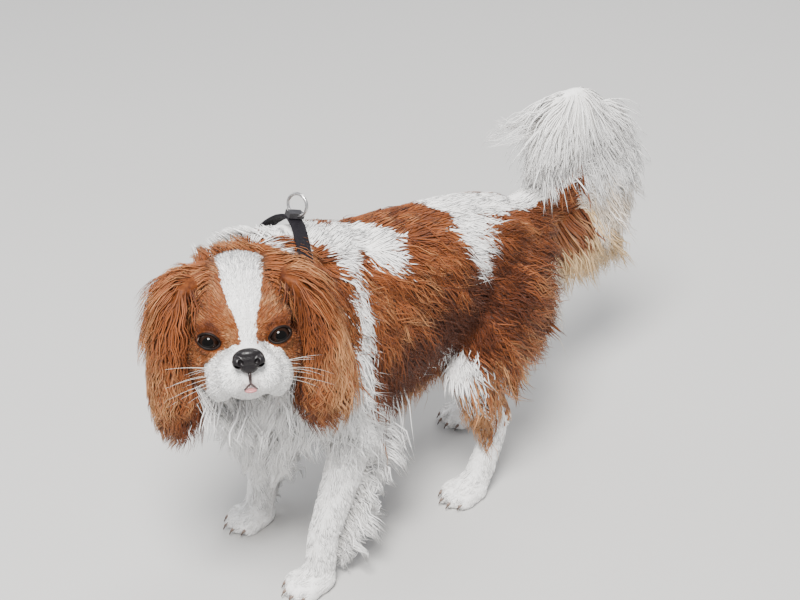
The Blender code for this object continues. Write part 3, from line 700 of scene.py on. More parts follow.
class Surface:
    """A skin that can be searched, sampled and unwrapped."""

    def __init__(self, *objects: bpy.types.Object) -> None:
        """Reads the triangles of one or more objects."""
        points, normals, faces, start = [], [], [], 0
        for obj in objects:
            mesh = obj.data
            mesh.calc_loop_triangles()
            flat = np.empty(len(mesh.loop_triangles) * 3, np.int32)
            mesh.loop_triangles.foreach_get("vertices", flat)
            points.append(points_of(mesh))
            normals.append(normals_of(mesh))
            faces.append(flat.reshape(-1, 3) + start)
            start += len(points[-1])
        self.points = np.concatenate(points)
        self.normals = np.concatenate(normals)
        self.faces = np.concatenate(faces)
        corners = self.points[self.faces]
        spans = corners[:, 1:] - corners[:, :1]
        self.areas = np.linalg.norm(np.cross(spans[:, 0], spans[:, 1]), axis=1) / 2
        self.middles = corners.mean(axis=1)
        self.facings = self.normals[self.faces].mean(axis=1)
        self.tree = BVHTree.FromPolygons(self.points.tolist(), self.faces.tolist())

    def nearest(self, points: Array) -> tuple[Array, Array]:
        """The nearest place on the surface to each point, and the surface's normal there."""
        places = np.empty_like(points)
        facing = np.empty_like(points)
        find = self.tree.find_nearest
        for i, point in enumerate(points.tolist()):
            place, normal, _, _ = find(point)
            places[i] = place
            facing[i] = normal
        return places, facing

    def scatter(self, count: int, weight: Array, draw: np.random.Generator
                ) -> tuple[Array, Array]:
        """Places strewn over the surface.

        Args:
            count: How many places.
            weight: How thickly they lie on each triangle, against the others.
            draw: The random numbers to use.

        Returns:
            The places and the normals there.
        """
        odds = np.cumsum(self.areas * weight)
        spread = (np.arange(count) + draw.uniform(0, 1, count)) / count
        chosen = np.searchsorted(odds, spread * odds[-1])
        chosen = np.minimum(chosen, len(odds) - 1)
        a, b = draw.uniform(0, 1, (2, count))
        fold = a + b > 1
        a[fold], b[fold] = 1 - a[fold], 1 - b[fold]
        shares = np.stack([1 - a - b, a, b], axis=1)[:, :, None]
        ring = self.faces[chosen]
        return (self.points[ring] * shares).sum(1), unit((self.normals[ring] * shares).sum(1))

    def cast(self, starts: Array, outs: Array, reach: float) -> tuple[Array, Array, Array]:
        """The places found by looking back in from outside along each direction."""
        places, normals, found = [], [], []
        for i, (start, out) in enumerate(zip(starts.tolist(), outs.tolist())):
            origin = Vector(start) + Vector(out) * reach
            place, normal, _, _ = self.tree.ray_cast(origin, -Vector(out), reach)
            if place is not None:
                places.append(place[:])
                normals.append(normal[:])
                found.append(i)
        shape = (len(found), 3)
        return (np.reshape(places, shape), np.reshape(normals, shape), np.array(found, int))


# Markings


class Markings:
    """Where the coat is white, and how golden or cream it is, as formulas of place."""

    WHITE_BARS: tuple[tuple[Point, Point, float, float], ...] = (
        ((0.014, -0.130, 0.345), (-0.020, -0.120, 0.330), 0.036, 0.040),
        ((0.006, -0.100, 0.345), (0.030, -0.078, 0.324), 0.026, 0.023),
        ((0.012, -0.050, 0.330), (0.034, -0.030, 0.315), 0.022, 0.024),
        ((0.051, -0.073, 0.304), (0.068, -0.079, 0.247), 0.0070, 0.0080),
        ((0.068, -0.079, 0.247), (0.080, -0.096, 0.200), 0.0080, 0.0180),
        ((0.024, -0.164, 0.290), (0.030, -0.160, 0.240), 0.044, 0.050),
        ((0.046, -0.124, 0.238), (0.060, -0.106, 0.190), 0.032, 0.034),
        ((-0.010, 0.075, 0.312), (0.000, 0.105, 0.305), 0.030, 0.034),
        ((0.012, 0.085, 0.305), (0.030, 0.075, 0.303), 0.028, 0.022),
        ((0.044, 0.072, 0.293), (0.060, 0.068, 0.262), 0.0170, 0.0085),
        ((0.000, 0.110, 0.300), (0.004, 0.170, 0.284), 0.027, 0.014),
        ((0.060, 0.036, 0.160), (0.062, 0.044, 0.132), 0.023, 0.027),
        ((0.060, -0.084, 0.156), (0.056, -0.092, 0.100), 0.018, 0.030),
        ((-0.062, 0.060, 0.150), (-0.060, 0.080, 0.120), 0.024, 0.028),
        ((-0.050, -0.060, 0.310), (-0.062, -0.050, 0.270), 0.026, 0.018),
        ((-0.040, 0.085, 0.298), (-0.060, 0.070, 0.262), 0.018, 0.010),
        ((0.000, -0.160, 0.250), (0.005, -0.135, 0.170), 0.062, 0.060),
        ((0.000, -0.090, 0.155), (0.000, 0.060, 0.165), 0.040, 0.034),
        ((0.058, -0.100, 0.160), (0.058, -0.130, 0.000), 0.040, 0.060),
        ((-0.058, -0.095, 0.160), (-0.058, -0.120, 0.000), 0.040, 0.060),
        ((0.050, 0.062, 0.060), (0.050, 0.060, 0.000), 0.050, 0.060),
        ((-0.050, 0.150, 0.060), (-0.050, 0.148, 0.000), 0.050, 0.060),
    )
    CHESTNUT_BARS: tuple[tuple[Point, Point, float, float], ...] = (
        ((0.027, -0.103, 0.341), (0.036, -0.100, 0.332), 0.005, 0.012),
        ((0.036, -0.100, 0.332), (0.050, -0.093, 0.296), 0.014, 0.015),
        ((0.050, -0.093, 0.296), (0.059, -0.098, 0.270), 0.014, 0.008),
        ((-0.010, -0.055, 0.340), (-0.014, -0.010, 0.335), 0.010, 0.012),
        ((0.034, -0.053, 0.322), (0.042, -0.056, 0.300), 0.006, 0.008),
        ((-0.050, -0.130, 0.290), (-0.062, -0.120, 0.230), 0.022, 0.024),
        ((0.052, 0.118, 0.190), (0.050, 0.116, 0.132), 0.030, 0.018),
        ((-0.052, 0.160, 0.190), (-0.050, 0.175, 0.110), 0.034, 0.024),
    )

    def white(self, points: Array, ragged: float = 1.0) -> Array:
        """How white the hair that grows at each point is, from 0 to 1."""
        body = np.max([pill(points, *bar) for bar in self.WHITE_BARS], axis=0)
        dark = np.max([pill(points, *bar) for bar in self.CHESTNUT_BARS], axis=0)
        body = np.minimum(body, 0.15 - dark)
        body = self.tail(points, body)
        head = POSTURE.head_share(points)
        inside = body * (1 - head) + self.head(points) * head
        inside = inside + ragged * (0.16 * ripple(points, 0.030, 3) + 0.10 * ripple(points, 0.011, 4))
        return rise(inside, -0.07, 0.07)

    def tail(self, points: Array, body: Array) -> Array:
        """The tail: white above and at its end, chestnut below at its root."""
        y, z = points[:, 1], points[:, 2]
        below = np.minimum((0.279 + 0.10 * (y - 0.17) - z) / 0.010, (0.238 - y) / 0.012)
        above = 1.5 * np.maximum(z - 0.285, 0)
        on_tail = rise(y + above, 0.160, 0.176) * np.maximum(rise(z, 0.20, 0.22), rise(y, 0.18, 0.20))
        return body * (1 - on_tail) + np.clip(-below, -1, 1) * on_tail

    def head(self, points: Array) -> Array:
        """The blaze, the muzzle and the throat, in the head's own frame."""
        h = applied(POSTURE.head().inverted(), points)
        x, y, z = h[:, 0] - 0.0025, h[:, 1], h[:, 2]
        half = np.interp(z, (0.0, 0.010, 0.022, 0.034, 0.050, 0.066),
                         (0.0075, 0.0075, 0.0105, 0.0145, 0.0180, 0.0200))
        half = half * rise(y, 0.062, 0.048)
        blaze = np.minimum((half - np.abs(x)) / 0.006, (z + 0.012) / 0.004)
        blaze = np.where(half > 0.001, blaze, -1.0)
        wide = np.abs(x)
        under = (-0.0030 - 0.62 * np.maximum(wide - 0.013, 0) - z) / 0.005
        muzzle = np.min([under, (-0.004 - y) / 0.006, (0.0385 - wide) / 0.005], axis=0)
        jaw = np.minimum((-0.032 - z) / 0.006, (0.034 - wide) / 0.006)
        neck = (y - 0.082) / 0.008
        return np.clip(np.max([blaze, muzzle, jaw, neck], axis=0), -1, 1)

    def tone(self, points: Array) -> Array:
        """How golden the chestnut is: 0 dark, 1 golden; round the eyes it is lowered as painted shade
        of the sockets.
        """
        h = applied(POSTURE.head().inverted(), points)
        head = POSTURE.head_share(points)
        eyes = np.min([np.linalg.norm(h - np.array((s * 0.029, -0.004, 0.004)), axis=1)
                       for s in (1, -1)], axis=0)
        brow = np.min([np.linalg.norm(h - np.array((s * 0.022, -0.008, 0.016)), axis=1)
                       for s in (1, -1)], axis=0)
        # Painted shade: the hair just round each eye is drawn darker, as the shade of its socket.
        face = 0.54 - 0.06 * rise(brow, 0.014, 0.008) - 0.30 * rise(eyes, 0.0150, 0.0115)
        low = 0.26 * rise(points[:, 2], 0.21, 0.13)
        middle = pill(points, (0.06, -0.02, 0.20), (0.06, 0.06, 0.24), 0.075, 0.060)
        flank = 0.38 + low - 0.30 * rise(middle, 0.0, 0.6) + 0.14 * ripple(points, 0.05, 8)
        return np.clip(flank * (1 - head) + face * head + 0.06 * ripple(points, 0.02, 9), 0, 1)

    def cream(self, points: Array) -> Array:
        """How far white hair turns to cream."""
        y, z = points[:, 1], points[:, 2]
        plume = rise(y, 0.17, 0.20) * rise(z, 0.30, 0.25)
        chest = 0.16 * rise(y, -0.11, -0.15) * rise(z, 0.30, 0.25) * rise(z, 0.10, 0.16)
        trousers = 0.55 * rise(y, 0.06, 0.12) * rise(z, 0.045, 0.09) * rise(z, 0.21, 0.16)
        return np.clip(0.04 + 0.52 * plume + chest + trousers, 0, 1)


MARKINGS = Markings()


def mark(mesh: bpy.types.Mesh) -> None:
    """Stores the markings at the points of a skin."""
    points = points_of(mesh)
    note(mesh, "white", MARKINGS.white(points))
    note(mesh, "tone", MARKINGS.tone(points))
    note(mesh, "cream", MARKINGS.cream(points))


# The skin


@dataclass
class Skin:
    """The dog's body, neck, head, legs and tail as one surface under the coat."""

    voxel: float = 0.0025
    smoothing: int = 4
    inset: float = 0.0016
    eye_radius: float = 0.0110
    eye_spread: float = 0.0290
    opening: tuple[float, float, float] = (0.0099, 0.0070, 0.0060)
    lid_tilt: float = 0.20
    leg_spread: float = 0.056
    trunk: tuple[Station, ...] = (
        ((0, -0.163, 0.228), 0.028, 0.040),
        ((0, -0.134, 0.232), 0.050, 0.070),
        ((0, -0.085, 0.240), 0.064, 0.088),
        ((0, -0.030, 0.241), 0.066, 0.085),
        ((0, 0.030, 0.243), 0.061, 0.076),
        ((0, 0.080, 0.245), 0.057, 0.066),
        ((0, 0.125, 0.240), 0.054, 0.057),
        ((0, 0.152, 0.234), 0.045, 0.046),
        ((0, 0.168, 0.230), 0.026, 0.028),
    )
    neck: tuple[Station, ...] = (
        ((0, -0.060, 0.248), 0.060, 0.074),
        ((0.000, -0.095, 0.278), 0.054, 0.068),
        ((0.002, -0.128, 0.295), 0.050, 0.059),
        ((0.014, -0.158, 0.304), 0.045, 0.049),
    )
    tail: tuple[Station, ...] = (
        ((0, 0.135, 0.262), 0.022, 0.022),
        ((0, 0.172, 0.271), 0.018, 0.018),
        ((0, 0.212, 0.276), 0.015, 0.015),
        ((0, 0.240, 0.290), 0.013, 0.013),
        ((0, 0.252, 0.318), 0.011, 0.011),
        ((0, 0.247, 0.342), 0.009, 0.009),
        ((0, 0.232, 0.356), 0.008, 0.008),
    )
    plume: tuple[tuple[Point, Point, Point], ...] = (
        ((0, 0.226, 0.341), (0.018, 0.044, 0.040), (0, 0, 0)),
        ((0, 0.272, 0.318), (0.014, 0.036, 0.038), (0, 0, 0)),
        ((0, 0.264, 0.284), (0.015, 0.038, 0.055), (0, 0, 0)),
        ((0, 0.203, 0.344), (0.014, 0.022, 0.037), (0, 0, 0)),
        ((0, 0.212, 0.262), (0.013, 0.040, 0.024), (0, 0, 0)),
    )

    def front_leg(self, clay: Clay, side: int, paw_y: float) -> None:
        """Shoulder, arm, wrist and paw."""
        x = side * self.leg_spread
        clay.ball((side * 0.048, -0.094, 0.208), (0.026, 0.042, 0.060), (20, 0, 0))
        clay.loft((
            ((x - side * 0.006, -0.088, 0.200), 0.024, 0.030),
            ((x, -0.084, 0.160), 0.020, 0.024),
            ((x, (paw_y - 0.084) / 2 + 0.004, 0.105), 0.017, 0.019),
            ((x, paw_y + 0.010, 0.055), 0.0150, 0.0160),
            ((x, paw_y + 0.006, 0.026), 0.0150, 0.0160),
            ((x, paw_y + 0.002, 0.010), 0.0160, 0.0170),
        ))
        self.paw(clay, x, paw_y)

    def hind_leg(self, clay: Clay, side: int, paw_y: float) -> None:
        """Thigh, knee, hock and paw."""
        x = side * (self.leg_spread - 0.006)
        swing = paw_y - 0.105
        clay.ball(
            (side * 0.044, 0.108 + swing * 0.2, 0.200), (0.028, 0.052, 0.066), (-14, 0, 0)
        )
        clay.loft((
            ((x, 0.100 + swing * 0.2, 0.195), 0.027, 0.040),
            ((x, 0.074 + swing * 0.35, 0.152), 0.023, 0.030),
            ((x, 0.104 + swing * 0.65, 0.116), 0.0180, 0.0220),
            ((x, paw_y + 0.034, 0.084), 0.0145, 0.0165),
            ((x, paw_y + 0.024, 0.048), 0.0135, 0.0140),
            ((x, paw_y + 0.012, 0.022), 0.0150, 0.0150),
            ((x, paw_y + 0.004, 0.010), 0.0160, 0.0160),
        ))
        self.paw(clay, x, paw_y)

    def paw(self, clay: Clay, x: float, y: float) -> None:
        """Four toes around a pad."""
        clay.ball((x, y - 0.002, 0.0085), (0.0190, 0.0235, 0.0165))
        for k, across in enumerate((-0.0140, -0.0050, 0.0050, 0.0140)):
            ahead = 0.0215 if k in (1, 2) else 0.0145
            clay.ball((x + across, y - ahead, 0.0080), (0.0068, 0.0125, 0.0105))

    def head_forms(self, clay: Clay) -> None:
        """Skull, brow, cheeks, muzzle, lips, jaw and the swell of the eyes."""
        head = POSTURE.head()

        def form(centre: Point, radii: Point, turn: Point = (0, 0, 0)) -> None:
            for side in (1, -1) if centre[0] else (1,):
                spin = (turn[0], turn[1] * side, turn[2] * side)
                clay.ball((centre[0] * side, *centre[1:]), radii, spin, head)

        form((0, 0.044, 0.024), (0.051, 0.058, 0.049))
        form((0.028, 0.040, 0.036), (0.024, 0.034, 0.028))
        form((0, 0.012, 0.018), (0.040, 0.030, 0.032))
        form((0.022, 0.006, 0.014), (0.021, 0.018, 0.018))
        form((0.028, 0.030, -0.016), (0.024, 0.034, 0.030))
        form((0, -0.014, -0.010), (0.017, 0.030, 0.014), (12, 0, 0))
        form((0, -0.018, -0.024), (0.027, 0.026, 0.021))
        form((0.0135, -0.026, -0.028), (0.0165, 0.0170, 0.0185))
        form((0.023, -0.006, -0.0310), (0.0165, 0.025, 0.0205))
        form((0, -0.012, -0.0368), (0.0225, 0.025, 0.0096))
        form((0, 0.018, -0.036), (0.026, 0.034, 0.019))
        form((self.eye_spread, 0.0012, 0), (self.eye_radius + 0.0022,) * 3)

    def build(self) -> bpy.types.Object:
        """Fuses the forms, draws them in by the coat's depth and opens the eyes and mouth."""
        clay = Clay()
        clay.loft(self.trunk)
        clay.loft(self.neck)
        clay.loft(self.tail)
        for centre, radii, turn in self.plume:
            clay.ball(centre, radii, turn)
        self.front_leg(clay, 1, -0.136)
        self.front_leg(clay, -1, -0.124)
        self.hind_leg(clay, 1, 0.062)
        self.hind_leg(clay, -1, 0.148)
        self.head_forms(clay)
        clay.ball((0.006, -0.142, 0.215), (0.042, 0.030, 0.056), (-14, 0, 10))
        obj = clay.fused("skin", self.voxel, self.smoothing)
        self.refine_face(obj.data)
        points = points_of(obj.data)
        points = points - normals_of(obj.data) * self.inset
        points[:, 2] = np.maximum(points[:, 2], 0.0)
        points = self.open_eyes(points)
        points = self.press_lips(points)
        move_points(obj.data, points)
        obj.data.shade_smooth()
        mark(obj.data)
        obj.data.materials.clear()
        obj.data.materials.append(CoatFinish().material("skin_and_undercoat", hair=False))
        return obj

    def refine_face(self, mesh: bpy.types.Mesh) -> None:
        """Splits the faces around the eyes and the mouth, which need the most detail."""
        inverse = POSTURE.head().inverted()
        bm = bmesh.new()
        bm.from_mesh(mesh)
        near = []
        for face in bm.faces:
            h = inverse @ face.calc_center_median()
            eye = (Vector((abs(h.x), h.y, h.z)) - Vector((self.eye_spread, 0, 0))).length
            if eye < 0.019 or (h.y < -0.020 and abs(h.x) < 0.030):
                near.append(face)
        edges = list({edge for face in near for edge in face.edges})
        bmesh.ops.subdivide_edges(bm, edges=edges, cuts=1, use_grid_fill=True)
        bmesh.ops.triangulate(bm, faces=[f for f in bm.faces if len(f.verts) > 4])
        bm.to_mesh(mesh)
        bm.free()

    def open_eyes(self, points: Array) -> Array:
        """Shapes a lidded opening over each eyeball."""
        head = POSTURE.head()
        h = applied(head.inverted(), points)
        for side in (1, -1):
            centre = np.array((side * self.eye_spread, 0, 0))
            away = h - centre
            reach = np.linalg.norm(away, axis=1)
            round_lid = self.lid_share(away, side)
            front = (away[:, 1] < -0.001) & (reach < self.eye_radius + 0.009)
            lid = self.eye_radius + 0.0010
            open_part = rise(round_lid, 1.02, 0.90)
            rim = rise(round_lid, 1.75, 1.05) * (1 - open_part)
            wanted = open_part * (self.eye_radius * 0.82) + (1 - open_part) * (
                rim * lid + (1 - rim) * reach
            )
            scale = np.where(front, wanted / np.maximum(reach, 1e-6), 1.0)
            h = centre + away * scale[:, None]
        return applied(head, h)

    def lid_share(self, away: Array, side: int) -> Array:
        """How far out from the middle of the lid opening a direction lies: 1 on the rim."""
        wide, high, low = self.opening
        across = (away[:, 0] - side * 0.0012) / wide
        up = away[:, 2] - 0.0003 - self.lid_tilt * side * across * wide
        tall = np.where(up > 0, high, low) * (1 - 0.42 * np.clip(across, -1, 1) ** 4)
        return np.hypot(across, up / tall)

    def press_lips(self, points: Array) -> Array:
        """Draws the line of the mouth into the muzzle."""
        head = POSTURE.head()
        h = applied(head.inverted(), points)
        for side in (1, -1):
            line = lip_line(side)
            depth = np.max(
                [pill(h, a, b, 0.0034, 0.0034) for a, b in zip(line, line[1:])], axis=0
            )
            press = rise(depth, 0.0, 1.0) * 0.0012
            inward = unit(np.array((0.0, 0.0, -0.030)) - h)
            h = h + inward * press[:, None]
        return applied(head, h)


def lip_line(side: int) -> tuple[Point, ...]:
    """Points along the mouth from under the nose to the corner."""
    return (
        (side * 0.0, -0.0455, -0.0335),
        (side * 0.0055, -0.0440, -0.0385),
        (side * 0.014, -0.0395, -0.0430),
        (side * 0.023, -0.0290, -0.0470),
        (side * 0.031, -0.0140, -0.0460),
        (side * 0.036, 0.0000, -0.0420),
    )


# The coat


@dataclass
class Strands:
    """The roots and shapes of many locks, one row each."""

    root: Array
    normal: Array
    flow: Array
    length: Array
    width: Array
    lift: Array
    fall: Array
    wave: Array
    stand: Array
    turns: Array = field(default_factory=lambda: np.zeros(0))
    thick: float = 0.30
    tone_shift: Array | float = 0.0
    cream_shift: float = 0.0
    mark_at: float = 0.5
    white: float | None = None
    tip_white: float | None = None
    clump: float = 0.5
    per_clump: int = 12

    def only(self, keep: Array) -> Strands:
        """The rows for which keep is true."""
        rows = {
            name: value[keep]
            for name, value in vars(self).items()
            if isinstance(value, np.ndarray) and len(value) == len(keep)
        }
        return replace(self, **rows)


@dataclass(frozen=True)
class Patch:
    """A field of long locks: where its roots lie, which way they run and how long they are.

    The roots are found from a line inside the body, by looking outwards from it. Out and flow
    each hold the direction of the first and of the last row, and turn is added to the flow
    along the line.
    """

    line: tuple[Point, Point]
    out: tuple[Point, Point]
    flow: tuple[Point, Point]
    count: int
    length: float
    width: float
    lift: float = 0.006
    fall: float = 0.3
    wave: float = 0.002
    turns: float = 1.2
    turn: Point = (0, 0, 0)
    grow: float = 1.0
    stand: float = 0.25
    tone: float = 0.0
    cream: float = 0.0
    white: float | None = None
    tip_white: float | None = None
    mark_at: float = 0.5
    clump: float = 0.6
    on_head: bool = False

    def mirrored(self) -> Patch:
        """The same patch on the other side of the body."""
        def flip(pair: tuple[Point, Point]) -> tuple[Point, Point]:
            return tuple((-p[0], p[1], p[2]) for p in pair)

        return replace(
            self, line=flip(self.line), out=flip(self.out), flow=flip(self.flow),
            turn=(-self.turn[0], *self.turn[1:]),
        )

    def strands(self, surface: Surface, draw: np.random.Generator) -> Strands:
        """The locks of this patch on a surface."""
        u, v = draw.uniform(-0.08, 1.08, (2, self.count))
        v = np.clip(v, 0, 1)

        def blend(pair: tuple[Point, Point], share: Array) -> Array:
            a, b = np.array(pair[0], float), np.array(pair[1], float)
            return a + (b - a) * share[:, None]

        outs = unit(blend(self.out, v) + draw.normal(0, 0.08, (self.count, 3)))
        root, normal, found = surface.cast(blend(self.line, u), outs, 0.15)
        u, v = u[found], v[found]
        n = len(found)
        flow = unit(blend(self.flow, v) + np.array(self.turn) * u[:, None])
        flow = unit(flow + draw.normal(0, 0.05, (n, 3)))
        grown = 1 + (self.grow - 1) * np.clip(u, 0, 1)
        strands = Strands(
            root=root, normal=normal, flow=flow,
            length=self.length * grown * draw.uniform(0.62, 1.08, n),
            width=self.width * draw.uniform(0.6, 1.25, n),
            lift=self.lift * draw.uniform(0.2, 1.3, n),
            fall=np.full(n, self.fall),
            wave=self.wave * draw.uniform(0.4, 1.4, n),
            stand=np.full(n, self.stand),
            turns=self.turns * draw.uniform(0.7, 1.3, n),
            tone_shift=self.tone, cream_shift=self.cream, white=self.white,
            tip_white=self.tip_white, mark_at=self.mark_at, clump=self.clump,
        )
        on_head = POSTURE.head_share(root) > 0.3
        return strands.only(on_head if self.on_head else ~on_head)


class Comb:
    """Grows locks over a surface and turns them into meshes."""

    def __init__(self, surface: Surface, finish: bpy.types.Material, seed: int) -> None:
        """Takes the surface to grow on, the coat's material and a seed."""
        self.surface = surface
        self.finish = finish
        self.draw = np.random.default_rng(seed)

    def paths(self, s: Strands, steps: int) -> tuple[Array, Array]:
        """Runs each lock over the surface.

        Args:
            s: The locks.
            steps: How many steps each takes from root to tip.

        Returns:
            The centres and the outward normals, each as step, lock, axis.
        """
        count = len(s.root)
        across = dot(s.flow, s.normal) * (1 - s.stand)
        heading = unit(s.flow - s.normal * across[:, None])
        normal = unit(s.normal - heading * dot(s.normal, heading)[:, None])
        thick = s.width * s.thick
        place = s.root.copy()
        phase = 2.4 * ripple(s.root, 0.13, 31) + self.draw.uniform(-0.45, 0.45, count)
        centres, normals = [s.root - s.normal * 0.0012], [normal]
        fall = np.zeros((count, 3))
        fall[:, 2] = -s.fall / steps
        for k in range(1, steps + 1):
            share = k / steps
            place = place + heading * (s.length / steps)[:, None]
            near, facing = self.surface.nearest(place)
            height = dot(place - near, facing)
            push = np.maximum(0.4 * thick + s.lift * share**0.8 - height, 0)
            hit = push > 0
            place = place + facing * push[:, None]
            place[:, 2] = np.maximum(place[:, 2], FLOOR_CLEARANCE)
            inward = np.minimum(dot(heading, facing), 0) * hit
            heading = unit(heading - facing * inward[:, None] + fall)
            normal = np.where(hit[:, None], facing, normal)
            normal = unit(normal - heading * dot(normal, heading)[:, None])
            sway = np.sin(phase + 2 * math.pi * s.turns * share) - np.sin(phase)
            side = np.cross(heading, normal)
            centres.append(place + side * (s.wave * sway * share)[:, None])
            normals.append(normal)
        return np.array(centres), np.array(normals)

    def gather(self, s: Strands, centres: Array) -> Array:
        """Draws the tips of neighbouring locks together, and returns each lock's leader."""
        count = len(s.root)
        leaders = self.draw.permutation(count)[: max(count // s.per_clump, 1)]
        tree = KDTree(len(leaders))
        for row in leaders.tolist():
            tree.insert(s.root[row], row)
        tree.balance()
        leader = np.array([tree.find(root)[1] for root in s.root.tolist()])
        steps = len(centres) - 1
        for k in range(1, steps + 1):
            pull = s.clump * (k / steps) ** 1.3
            centres[k] += (centres[k][leader] - centres[k]) * pull
        return leader

    def locks(self, s: Strands, steps: int) -> dict[str, Array]:
        """Points, faces and numbers of closed, flat, tapered locks."""
        centres, normals = self.paths(s, steps)
        count = len(s.root)
        leader = self.gather(s, centres)
        own = self.draw.uniform(0, 1, count)
        shades = 0.5 * own + 0.5 * own[leader]
        spot = centres[round(steps * s.mark_at * 0.6)]
        far_spot = centres[round(steps * s.mark_at * 1.5)]
        ahead = np.empty_like(centres)
        ahead[1:-1] = centres[2:] - centres[:-2]
        ahead[0], ahead[-1] = centres[1] - centres[0], centres[-1] - centres[-2]
        ahead = unit(ahead)
        side = unit(np.cross(ahead, normals))
        over = np.cross(side, ahead)
        share = np.arange(steps) / steps
        wide = (0.55 + 0.45 * np.sin(np.minimum(share / 0.35, 1) * math.pi / 2))
        wide = wide * (1 - share**1.9) * 0.5
        deep = np.sqrt(np.maximum(wide * 2, 0.05)) * 0.5
        half = side[:-1] * (s.width * wide[:, None])[..., None]
        ridge = over[:-1] * (s.width * s.thick * deep[:, None])[..., None]
        body = centres[:-1]
        corners = np.stack([body + half - ridge * 0.4, body + ridge, body - half - ridge * 0.4], 2)
        rings = corners.transpose(1, 0, 2, 3).reshape(count, steps * 3, 3)
        points = np.concatenate([rings, centres[-1][:, None]], axis=1)
        points[..., 2] = np.maximum(points[..., 2], FLOOR_CLEARANCE / 4)
        faces = [(0, 1, 2)]
        for k in range(steps - 1):
            for i, j in ((0, 1), (1, 2), (2, 0)):
                low_i, low_j, high_i, high_j = 3 * k + i, 3 * k + j, 3 * k + 3 + i, 3 * k + 3 + j
                faces += [(low_i, high_i, high_j), (low_i, high_j, low_j)]
        tip, last = steps * 3, steps * 3 - 3
        faces += [(last + i, tip, last + j) for i, j in ((0, 1), (1, 2), (2, 0))]
        per_lock = steps * 3 + 1
        starts = np.arange(count) * per_lock
        along = np.append(np.repeat(share, 3), 1.0)
        across = np.append(np.tile((0.0, 0.5, 1.0), steps), 0.5)
        white = MARKINGS.white(spot) if s.white is None else np.full(count, s.white)
        tips = MARKINGS.white(far_spot) if s.white is None else white
        if s.tip_white is not None:
            tips = np.full(count, s.tip_white)
        turn = rise(along[None] + 0.2 * (own[:, None] - 0.5), 0.30, 0.80)
        whites = white[:, None] * (1 - turn) + tips[:, None] * turn
        return {
            "points": points.reshape(-1, 3),
            "faces": (starts[:, None, None] + np.array(faces)[None]).reshape(-1, 3),
            "along": np.tile(along, count),
            "across": np.tile(across, count),
            "shade": np.repeat(shades, per_lock),
            "white": whites.ravel(),
            "tone": np.repeat(MARKINGS.tone(spot) + s.tone_shift, per_lock),
            "cream": np.repeat(MARKINGS.cream(spot) + s.cream_shift, per_lock),
            "root": np.repeat(s.root, per_lock, axis=0),
            "facing": np.repeat(s.normal, per_lock, axis=0),
        }

    def piece(self, name: str, batches: Iterable[tuple[Strands, int]]) -> bpy.types.Object:
        """One mesh of all the locks in some batches."""
        parts = [self.locks(strands, steps) for strands, steps in batches if len(strands.root)]
        return self.join(name, parts)

    def join(self, name: str, parts: Sequence[dict[str, Array]]) -> bpy.types.Object:
        """One mesh of several lots of locks, with its unwrap for baking."""
        offsets = np.cumsum([0] + [len(part["points"]) for part in parts[:-1]])
        faces = np.concatenate([part["faces"] + o for part, o in zip(parts, offsets)])
        merged = {
            key: np.concatenate([part[key] for part in parts])
            for key in parts[0]
            if key != "faces"
        }
        mesh = mesh_from(name, merged["points"], faces)
        for key in ("along", "across", "shade", "white", "tone", "cream"):
            note(mesh, key, merged[key])
        spots = unwrap(merged["root"], merged["facing"])
        spots = spots + PATCH_SIZE * np.stack([merged["across"], merged["along"]], 1)
        layer = mesh.uv_layers.new(name="OFBake")
        layer.uv.foreach_set("vector", spots[faces.ravel()].astype(np.float32).ravel())
        mesh.materials.append(self.finish)
        log.info("%s: %d triangles", name, len(faces))
        return add_object(name, mesh)


PATCH_SIZE = 0.003


def unwrap(points: Array, normals: Array) -> Array:
    """Where places of a skin fall on its unwrap: six views of it, side by side."""
    axis = np.abs(normals).argmax(axis=1)
    behind = normals[np.arange(len(normals)), axis] < 0
    low, high = points.min(axis=0), points.max(axis=0)
    shares = (points - low) / np.maximum(high - low, 1e-6)
    u = np.where(axis == 0, shares[:, 1], shares[:, 0])
    v = np.where(axis == 2, shares[:, 1], shares[:, 2])
    pad = 0.012
    u = (axis + pad + u * (1 - 2 * pad - 3 * PATCH_SIZE)) / 3
    v = (behind + pad + v * (1 - 2 * pad - 2 * PATCH_SIZE)) / 2
    return np.stack([u, v], axis=1)


